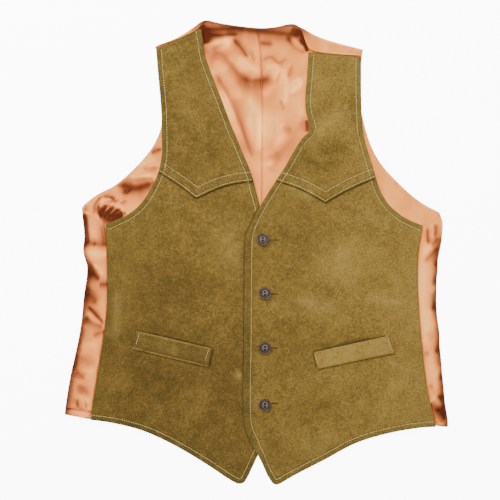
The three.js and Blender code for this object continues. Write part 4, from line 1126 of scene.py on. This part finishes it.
# %% Creases of the armholes
ARMHOLE_CREASES = [
    Crease([(-186, 94), (-172, 88), (-158, 90), (-142, 97)], 22, -0.8, -0.55, 0.15),
    Crease([(-145, 135), (-135, 140), (-127, 142)], 9, -1.2, -0.9, 0.2),
    Crease([(-156, 118), (-144, 114), (-131, 117)], 8, -1.0, -0.55),
    Crease([(-192, 92), (-180, 93), (-167, 88), (-155, 90), (-136, 98)], 22, -2.0, -0.75, 0.08),
    Crease([(-183, 80), (-175, 87)], 4, -0.8, -0.5),
    Crease([(-179, 78), (-169, 88)], 4, -0.8, -0.5),
    Crease([(-176, 104), (-156, 104), (-136, 107)], 13, 2.0, 0.5, 0.3),
    Crease([(-211, 76), (-199, 76), (-188, 68)], 8, -1.3, -0.8),
    Crease([(-194, 67), (-184, 73)], 4, -0.8, -0.5),
    Crease([(-186, 66), (-174, 72)], 4, -0.8, -0.5),
    Crease([(-220, 51), (-220, 64), (-215, 72), (-208, 78)], 4, -1.0, -0.7, 0.2),
    Crease([(-216, 50), (-216, 61), (-210, 70)], 4, -0.9, -0.7, 0.2),
    # The dark hollow under the arm: broad painted shade with dark fingers, and thin painted highlights along
    # the streaks between them.
    Crease([(-216, 53), (-207, 54), (-196, 50), (-180, 51)], 20, -1.2, -1.9, 0.08),
    Crease([(-196, 50), (-187, 51), (-176, 55)], 7, -0.5, -0.9, 0.12),
    Crease([(-211, 54), (-207, 61), (-203, 67)], 5, -0.4, -0.8, 0.15),
    Crease([(-202, 54), (-197, 60), (-192, 65)], 4, -0.3, -0.7, 0.15),
    Crease([(-195, 53), (-189, 58), (-183, 61)], 4, -0.3, -0.7, 0.15),
    Crease([(-209, 50), (-205, 57), (-199, 64)], 1.6, 0.5, 0.9, 0.2),
    Crease([(-205, 46), (-199, 53), (-191, 61)], 1.5, 0.4, 0.8, 0.2),
    Crease([(-200, 45), (-193, 51), (-184, 57)], 1.6, 0.4, 0.9, 0.2),
    Crease([(-194, 45), (-188, 49), (-179, 54)], 1.5, 0.3, 0.7, 0.2),
    Crease([(-178, 74), (-160, 84), (-142, 92)], 16, 1.6, 0.15, 0.3),
    Crease([(-172, 128), (-155, 126), (-134, 128)], 14, 1.4, 0.3, 0.3),
    Crease([(-214, 62), (-206, 71), (-196, 73)], 5, 0.9, 0.7, 0.2),
    Crease([(-200, 68), (-188, 64), (-178, 58)], 5, 0.8, 0.6, 0.2),
    Crease([(-233, 56), (-231, 65)], 7, -0.9, -0.8, 0.1),
]
print("creases of the armholes:", len(ARMHOLE_CREASES))

# %% [markdown]
# Under the vest no one sees the satin, but it isn't drawn tight there either. A few shallow
# creases rise from the surface that it rests on.

# %% Creases of the hidden side
UNDER_CREASES = [
    Crease([(-180, 120), (-120, 60), (-60, 40)], 12, 0.5),
    Crease([(-200, -60), (-130, -90), (-70, -80)], 14, 0.5),
    Crease([(190, -30), (120, -70), (60, -60)], 12, 0.5),
    Crease([(150, 120), (100, 90), (60, 100)], 10, 0.5),
    Crease([(-20, 260), (-10, 180), (-14, 90)], 12, 0.4),
    Crease([(40, -120), (70, -160), (130, -180)], 14, 0.5),
    Crease([(-60, -150), (-120, -180), (-190, -170)], 12, 0.5),
    Crease([(-90, 200), (-60, 150), (-70, 110)], 9, 0.4),
]
print("creases of the hidden side:", len(UNDER_CREASES))


# %% [markdown]
# The layers of cloth lie close to each other, so a crease may not push the satin
# through the suede above it or the back below it. A cloth simulation would find such contacts
# by itself, but it gives other folds than the photographed ones. Rays measure the room instead.

# %% Creasing a satin mesh
SHOWN_FROM = (1.6, 3.2)            # heights between which a fold starts to count as upper
UNDER_LEVEL = 1.5                  # height at which the creases of the hidden side have faded
MOVED = 0.05                       # least movement that is checked against its neighbours
AIR = 0.3                          # kept between the satin and the suede over it
REST = {"under": 0.15, "upper": 0.45}      # kept from the back to the lining's two sides


def covered_by(trees, place):
    """Height of the lowest panel above a place, or none"""
    hits = [tree.ray_cast(place, UP)[0] for tree in trees]
    return min((hit.z for hit in hits if hit), default=None)


Pull = namedtuple("Pull", "x y sideways up reach")
PULLS = [
    Pull(-231, 60, -5.5, 1.5, 15),
    Pull(-215, 78, -2.0, 2.5, 16),
    Pull(247, 40, 3.5, 0.5, 20),
    Pull(246, 10, 2.0, 0, 16),
    Pull(52, 306, 0.5, 4.5, 18),
    Pull(-134, 284, -2.0, 2.0, 16),
    Pull(258, -225, 1.5, -1.5, 12),
    Pull(-222, -222, 4.5, -1.5, 9),
    Pull(-68, 314, 0, 2.5, 14),
    Pull(-234, 3, -2.0, 0, 12),
    Pull(248, -106, 1.2, 0, 14),
    Pull(247, -22, 1.2, 0, 12),
]


def drawn_out(flat):
    """The flat points after the satin's corners are drawn out a little"""
    moved = flat.copy()
    for pull in PULLS:
        near = np.exp(-((flat - (pull.x, pull.y)) ** 2).sum(1) / pull.reach**2)
        moved += near[:, None] * (pull.sideways, pull.up)
    return moved


def crease_satin(mesh, rows, under=(), panels=(), below=None, upper_only=False):
    """Moves the mesh's points by the creases, between what lies above and below, and tones them"""
    places = points_of(mesh)
    places[:, :2] = drawn_out(places[:, :2] / MM) * MM
    set_points(mesh, places)
    flat = places[:, :2] / MM
    level = places[:, 2] / MM
    height, tone = crease_relief(flat, rows)
    if upper_only:
        upper = smoothstep((level - SHOWN_FROM[0]) / (SHOWN_FROM[1] - SHOWN_FROM[0]))
        height *= upper
        tone *= upper
    if under:
        height += np.clip(crease_relief(flat, under)[0], 0, None) * smoothstep(UNDER_LEVEL - level)
    for i in np.flatnonzero(height > MOVED) if panels else ():
        over = covered_by(panels, Vector(places[i]))
        if over is not None:
            height[i] = min(height[i], max(over / MM - SUEDE - AIR - level[i], 0))
    for i in np.flatnonzero(height < -MOVED) if below else ():
        hit = below.ray_cast(Vector(places[i]), -UP)[0]
        if hit is not None:
            rest = REST["upper" if mesh.vertices[i].normal.z > 0 else "under"]
            height[i] = max(height[i], min(hit.z / MM + rest - level[i], 0))
    places[:, 2] = np.maximum(level + height, 0) * MM
    set_points(mesh, places)
    paint(mesh, "tone", tone)
    return mesh


SUEDE_TREES = [right_tree, left_tree, right_yoke_tree, left_yoke_tree]
GATHER_REACH = 3.0                 # from a side seam to where its gathers have mostly faded
LEFT_GATHERS = 0.3                 # of the right side's, because the left seam lies smoother
# Tones of painted shade: under the collar edge, at the folded sides and beside the side seams.
NECK_EDGE = {
    "line": [(-76, 314), (-49, 313), (-22, 310), (8, 308), (39, 308), (62, 308)],
    "tone": -0.85,
    "reach": 14.0,
}
FOLD_SHADE = {"tone": -1.15, "reach": 7.5, "band": 4.0}
FOLD_TOP = {"right": 50, "left": 20}         # height at which the folded edge of a side ends
SEAM_SHADE = {"tone": -0.5, "reach": 1.8}
MIDDLE_SEAM = {"tone": -0.3, "reach": 1.2}
UNDER_NECK_EDGE = {"tone": -0.5, "reach": 9.0}


def darken(mesh, gap, look):
    """Darkens the satin beside a line, from the distance of each point from it"""
    tone = np.empty(len(mesh.vertices), np.float32)
    mesh.attributes["tone"].data.foreach_get("value", tone)
    tone += look["tone"] * np.exp(-((gap / look["reach"]) ** 2))
    mesh.attributes["tone"].data.foreach_set("value", tone)


def from_fold(flat, side):
    """Distance of each flat point from the folded side of the vest, where side is -1 or 1"""
    outward = flat[:, 0] * side
    band = np.floor(flat[:, 1] / FOLD_SHADE["band"]).astype(int)
    band -= band.min()
    farthest = np.full(band.max() + 2, -np.inf)
    np.maximum.at(farthest, band, outward)
    return farthest[band] - outward


# %% [markdown]
# The back gets painted shade, dark and red, where it folds round the sides, where it dips into
# the side seams and under the collar edge, as light reaches those places after it has met satin.
# Each of the three is a tone that falls off with the distance from its line.

# %% The back
back_mesh = divided_where_shown(rounded(joined_copy("back"), 2), ["right side", "left side"])
crease_satin(
    back_mesh, RIGHT_SIDE_CREASES + LEFT_SIDE_CREASES, UNDER_CREASES, upper_only=True)
side_seams = [right["seam"], left["seam"]]
seam_gap = from_lines(points_of(back_mesh)[:, :2] / MM - (0, DRAWING_RISE), side_seams)
gathered = np.where(points_of(back_mesh)[:, 0] < 0, 1.0, LEFT_GATHERS)
paint(back_mesh, "seam_near", gathered * np.exp(-seam_gap / GATHER_REACH))
flat = points_of(back_mesh)[:, :2] / MM
fold = np.minimum(from_fold(flat, -1), from_fold(flat, 1))
fold_top = np.where(flat[:, 0] < 0, FOLD_TOP["right"], FOLD_TOP["left"])
fold += np.clip(flat[:, 1] - fold_top, 0, FAR)
darken(back_mesh, fold, FOLD_SHADE)
darken(back_mesh, seam_gap, SEAM_SHADE)
neck_edge = [Vector((x, y - DRAWING_RISE)) for x, y in NECK_EDGE["line"]]
darken(back_mesh, from_lines(flat - (0, DRAWING_RISE), [neck_edge]), NECK_EDGE)
back_tree = tree_of(back_mesh)
satin_back = add_piece("satin_back", back_mesh, "satin", "back")

# %% [markdown]
# The lining has a seam down its middle and is made in two halves. It gets painted shade where it
# runs under the collar edge of the back, and is darkened faintly at the middle seam, which is
# pressed open.

# %% The lining
for side, areas in (("right", ["neck", "right armhole", "right hollow"]),
                    ("left", ["neck", "left armhole"])):
    node = "lining_" + side
    mesh = divided_where_shown(rounded(joined_copy(node), 2, crispness=0.8), areas)
    crease_satin(mesh, NECK_CREASES + ARMHOLE_CREASES, panels=SUEDE_TREES, below=back_tree)
    flat = points_of(mesh)[:, :2] / MM
    darken(mesh, from_fold(flat, 1 if side == "right" else -1), MIDDLE_SEAM)
    darken(mesh, from_lines(flat - (0, DRAWING_RISE), [neck_edge]), UNDER_NECK_EDGE)
    add_piece("satin_" + node, mesh, "lining", node)

# %% [markdown]
# ## Welts and buttons
# A welt is a folded strip of suede, sewn down at its two ends over the mouth of a pocket. Its
# form is the solid's, with creased edges that stay crisp. Fine ridges along the edges show
# where the fold is pressed. A bump could draw them too, but it would cast no shadow. Their tone
# paints a highlight along the right welt's two long edges and shade in the groove above its lower
# edge, at its right end and along the left welt's left and lower edges.

# %% The welts
WELT_ROWS = {
    "right": [[(-157.3, -106.8), (-162.8, -126.8)], [(-63.8, -129.1), (-69.1, -149.2)]],
    "left": [[(78.8, -134.5), (84.1, -153.2)], [(178.1, -114.0), (182.9, -134.1)]],
}
WELT_TONE = {"right": -0.4, "left": 0.75}
WELT_RUBBED = 0.1
Ridge = namedtuple("Ridge", "start end place width height tone")
# The tone of a ridge is a painted highlight where it is positive and painted shade where negative.
WELT_RIDGES = {
    "right": [
        Ridge((-162, -107), (-59, -131), 0.8, 1.0, 0.25, 1.0),
        Ridge((-168, -131), (-64, -156), 0.8, 1.1, 0.30, 1.2),
        Ridge((-150, -135.3), (-64, -156), 2.9, 0.9, -0.25, -1.1),
        Ridge((-59, -131), (-64, -156), 1.0, 0.9, -0.15, -1.2),
    ],
    "left": [
        Ridge((78, -136), (83, -159), 0.8, 1.0, -0.10, -0.8),
        Ridge((83, -159), (188, -137), 0.7, 0.8, -0.10, -0.7),
    ],
}
welts = {}
welt_trees = {}
for side, rows in WELT_ROWS.items():
    node = "welt_" + side
    mesh = rounded(joined_copy(node), 3, crispness=0.8)
    flat = points_of(mesh)[:, :2] / MM - (0, DRAWING_RISE)
    lines = [[Vector(p) for p in row] for row in rows]
    tone = np.full(len(flat), WELT_TONE[side])
    places = points_of(mesh)
    for ridge in WELT_RIDGES[side]:
        gap = from_lines(flat, [[Vector(ridge.start), Vector(ridge.end)]])
        near = np.exp(-(((gap - ridge.place) / ridge.width) ** 2))
        tone += ridge.tone * near
        places[:, 2] += ridge.height * near * MM * (mesh_ups(mesh) > 0.5)
    set_points(mesh, places)
    paint(mesh, "tone", tone)
    for attribute_name in ("edge_gap", "yoke_gap", "cover_gap"):
        paint(mesh, attribute_name, np.full(len(flat), FAR))
    paint(mesh, "rubbed", np.full(len(flat), WELT_RUBBED))
    paint(mesh, "row_gap", from_lines(flat, lines))
    welt_trees[side] = tree_of(mesh)
    welts[side] = add_piece("suede_" + node, mesh, "suede", node)

# %% [markdown]
# The buttons are turned discs with a rim and a shallow dish. Each point carries its distance
# from the middle, and the finish draws the rings of the horn from that, with painted shade in
# the groove inside the rim and at the outer edge. The crown swells the middle of the dish a
# little, so that it holds one soft gleam instead of a flat patch.

# %% The buttons
BUTTON = {"radius": 8.5, "dish": 6.1, "crown": 0.85, "holes": 3.6, "hole": 1.25}
button_trees = []
for number in (1, 2, 3, 4):
    node = "button_" + str(number)
    mesh = rounded(joined_copy(node), 2, crispness=0.5)
    low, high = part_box(node)
    middle = (Vector(low) + Vector(high)) / 2
    places = points_of(mesh)
    out = np.linalg.norm(places[:, :2] - np.array(middle[:2]), axis=1) / MM
    crowned = np.clip(1 - (out / BUTTON["dish"]) ** 2, 0, 1) * (places[:, 2] > middle.z)
    places[:, 2] += BUTTON["crown"] * crowned * MM
    set_points(mesh, places)
    paint(mesh, "ring", out / BUTTON["radius"])
    add_piece("horn_" + node, mesh, "button", node)
    button_trees.append((middle, tree_of(mesh)))

# %% [markdown]
# From above, the two holes with their dark thread are seen as two dark spots. Each is a flat,
# nearly black lens of thread that lies on the button over its hole, painted shade of the hole as
# well as its thread. Loops of thread would be truer from close by, but at this size they would
# catch light that the real holes swallow.

# %% The thread in the holes of the buttons
KNOT = {"radius": 1.5, "flatness": 0.3}
knots = bmesh.new()
for middle, tree in button_trees:
    for side in (-1, 1):
        place = middle + Vector((0, side * BUTTON["holes"] / 2, 0)) * MM
        beside_hole = place + Vector((2 * BUTTON["hole"], 0, 0)) * MM
        place.z = height_on(tree, beside_hole)
        bmesh.ops.create_uvsphere(
            knots, u_segments=14, v_segments=8, radius=KNOT["radius"] * MM,
            matrix=Matrix.Translation(place) @ Matrix.Diagonal((1, 1, KNOT["flatness"], 1)))
mesh = mesh_of(knots, "button_thread_and_hole_shade")
add_piece("button_thread_and_hole_shade", mesh, "thread", material=KNOT_THREAD_AND_HOLE_SHADE)

# %% [markdown]
# ## Stitches
# A row of machine stitches is a chain of short thick threads that dip at both ends. Each is a
# small ellipsoid, tilted with the cloth and a little out of line. A curve with a dashed texture
# would be lighter, but it wouldn't catch the light from the side.

# %% Rows of stitches
STITCH = {"pitch": 3.2, "length": 2.5, "width": 0.9, "height": 0.8, "wander": 0.12}
PROUD = 0.1                        # that the middle of a stitch stands over its cloth
thread_draw = random.Random(7)


def stepped(line, pitch):
    """Places and directions at even steps along a line"""
    walked, due = 0.0, pitch / 2
    for a, b in zip(line, line[1:]):
        length = (b - a).length
        while due < walked + length:
            yield a.lerp(b, (due - walked) / length), (b - a).normalized()
            due += pitch
        walked += length


def surface_at(tree, p):
    start = Vector((p.x * MM, (p.y + DRAWING_RISE) * MM, ABOVE_ALL))
    return tree.ray_cast(start, -UP)[0]


def sew(name, rows, tree, over=(), look=STITCH, material=None):
    """Stitches along rows on a piece, where no other piece lies over them"""
    bm = bmesh.new()
    for row in rows:
        for p, ahead in stepped(row, look["pitch"]):
            place = p + Vector((thread_draw.gauss(0, 1), thread_draw.gauss(0, 1))) * look["wander"]
            length = look["length"] * thread_draw.uniform(0.85, 1.1)
            ends = [surface_at(tree, place + ahead * length / 2 * side) for side in (-1, 1)]
            if None in ends or covered_by(over, ends[0] + UP * MM) is not None:
                continue
            along = (ends[1] - ends[0]).normalized()
            turn = along.to_track_quat("X", "Z").to_matrix().to_4x4()
            size = Matrix.Diagonal((length / 2, look["width"] / 2, look["height"] / 2, 1))
            middle = (ends[0] + ends[1]) / 2 + UP * PROUD * MM
            bmesh.ops.create_uvsphere(
                bm, u_segments=8, v_segments=5, radius=MM,
                matrix=Matrix.Translation(middle) @ turn @ size)
    return add_piece(name, mesh_of(bm, name), "thread", material=material)


YOKE_TREES = [right_yoke_tree, left_yoke_tree]
sewn = {
    front_right: sew("stitches_front_right", [right["armhole row"], right["front row"]],
                     right_tree, [*YOKE_TREES, left_tree]),
    front_left: sew("stitches_front_left", [left["armhole row"], left["front row"]],
                    left_tree, YOKE_TREES),
    yoke_right: sew("stitches_yoke_right",
                    [right["armhole row"], right["neck row"], *right["yoke rows"]],
                    right_yoke_tree, [left_tree]),
    yoke_left: sew("stitches_yoke_left",
                   [left["armhole row"], left["neck row"], *left["yoke rows"]],
                   left_yoke_tree),
}
for side, rows in WELT_ROWS.items():
    lines = [[Vector(p) for p in row] for row in rows]
    sewn[welts[side]] = sew("stitches_welt_" + side, lines, welt_trees[side])

# %% [markdown]
# The satin hem is turned up and sewn in its own colour. Two small tucks end at its row.

# %% The hem of the satin
HEM_ROW = [(-255, -210.5), (-238, -212), (-221.5, -215.5)]
HEM_LOOK = {"pitch": 3.0, "length": 2.0, "width": 0.7, "height": 0.5, "wander": 0.1}
hem_thread = sew("stitches_satin_hem", [curve(HEM_ROW)], back_tree, look=HEM_LOOK,
                 material=SATIN_THREAD)

# %% [markdown]
# A buttonhole is a short slit bound with close stitches in a dark thread. The slit itself is
# shut by its button, so only the binding shows beside it.

# %% The buttonholes
BUTTONHOLES = [(15, 16), (15, -57), (15, -130), (15, -205)]
BINDING = {"start": -1, "pitch": 0.95, "count": 17, "aside": 0.55, "reach": 0.4,
           "half": (0.42, 0.55, 0.30)}
bound = bmesh.new()
for x, y in BUTTONHOLES:
    for side in (-1, 1):
        for i in range(BINDING["count"]):
            p = Vector((x + BINDING["start"] + i * BINDING["pitch"], y + side * BINDING["aside"]))
            reach = Vector((0, BINDING["reach"]))
            ends = [surface_at(left_tree, p - reach), surface_at(left_tree, p + reach)]
            size = Matrix.Diagonal((*BINDING["half"], 1))
            bmesh.ops.create_uvsphere(
                bound, u_segments=6, v_segments=4, radius=MM,
                matrix=Matrix.Translation((ends[0] + ends[1]) / 2 + UP * PROUD * MM) @ size)
mesh = mesh_of(bound, "buttonhole_binding")
binding = add_piece("buttonhole_binding", mesh, "thread", material=HOLE_THREAD)

# %% [markdown]
# ## The photograph
# The vest was cut out on white, seen from straight above in soft light. A wide lamp above its
# head gives the satin its sheen, and the pale floor fills the shadows.

# %% Floor, light and camera
FLOOR_GLOW = 8.0                   # that only the camera sees, so that it doesn't light the vest
bm = bmesh.new()
bmesh.ops.create_grid(bm, x_segments=1, y_segments=1, size=2.5)
floor_mesh = mesh_of(bm, "floor")
floor = bpy.data.objects.new("floor", floor_mesh)
bpy.context.scene.collection.objects.link(floor)
floor_paint, tree, shader = new_material("white floor")
set_sockets(shader, Base_Color=(0.9, 0.9, 0.9, 1), Roughness=0.9)
seen = add_node(tree, "ShaderNodeLightPath").outputs["Is Camera Ray"]
tree.links.new(seen, shader.inputs["Emission Color"])
shader.inputs["Emission Strength"].default_value = FLOOR_GLOW
floor_mesh.materials.append(floor_paint)


def lamp(name, place, size, power, colour=(1, 1, 1)):
    data = bpy.data.lights.new(name, "AREA")
    data.shape = "RECTANGLE"
    data.size, data.size_y = size
    data.energy = power
    data.color = colour
    made = bpy.data.objects.new(name, data)
    bpy.context.scene.collection.objects.link(made)
    made.location = place
    made.rotation_euler = (-Vector(place)).to_track_quat("-Z", "Y").to_euler()
    return made


lamp("key", (-0.55, 1.05, 1.05), (0.8, 0.6), 41)
lamp("overhead", (0.1, 0.6, 4.0), (2.7, 1.6), 255)
world = bpy.data.worlds.new("studio")
world.use_nodes = True
world.node_tree.nodes["Background"].inputs["Color"].default_value = (1, 1, 1, 1)
world.node_tree.nodes["Background"].inputs["Strength"].default_value = 0.52
bpy.context.scene.world = world

camera = bpy.data.objects.new("camera", bpy.data.cameras.new("camera"))
bpy.context.scene.collection.objects.link(camera)
camera.data.lens = 60
camera.location = (-0.00816, 0.0042, 1.1368)
bpy.context.scene.camera = camera
print("camera height in metres:", round(camera.location.z, 3))
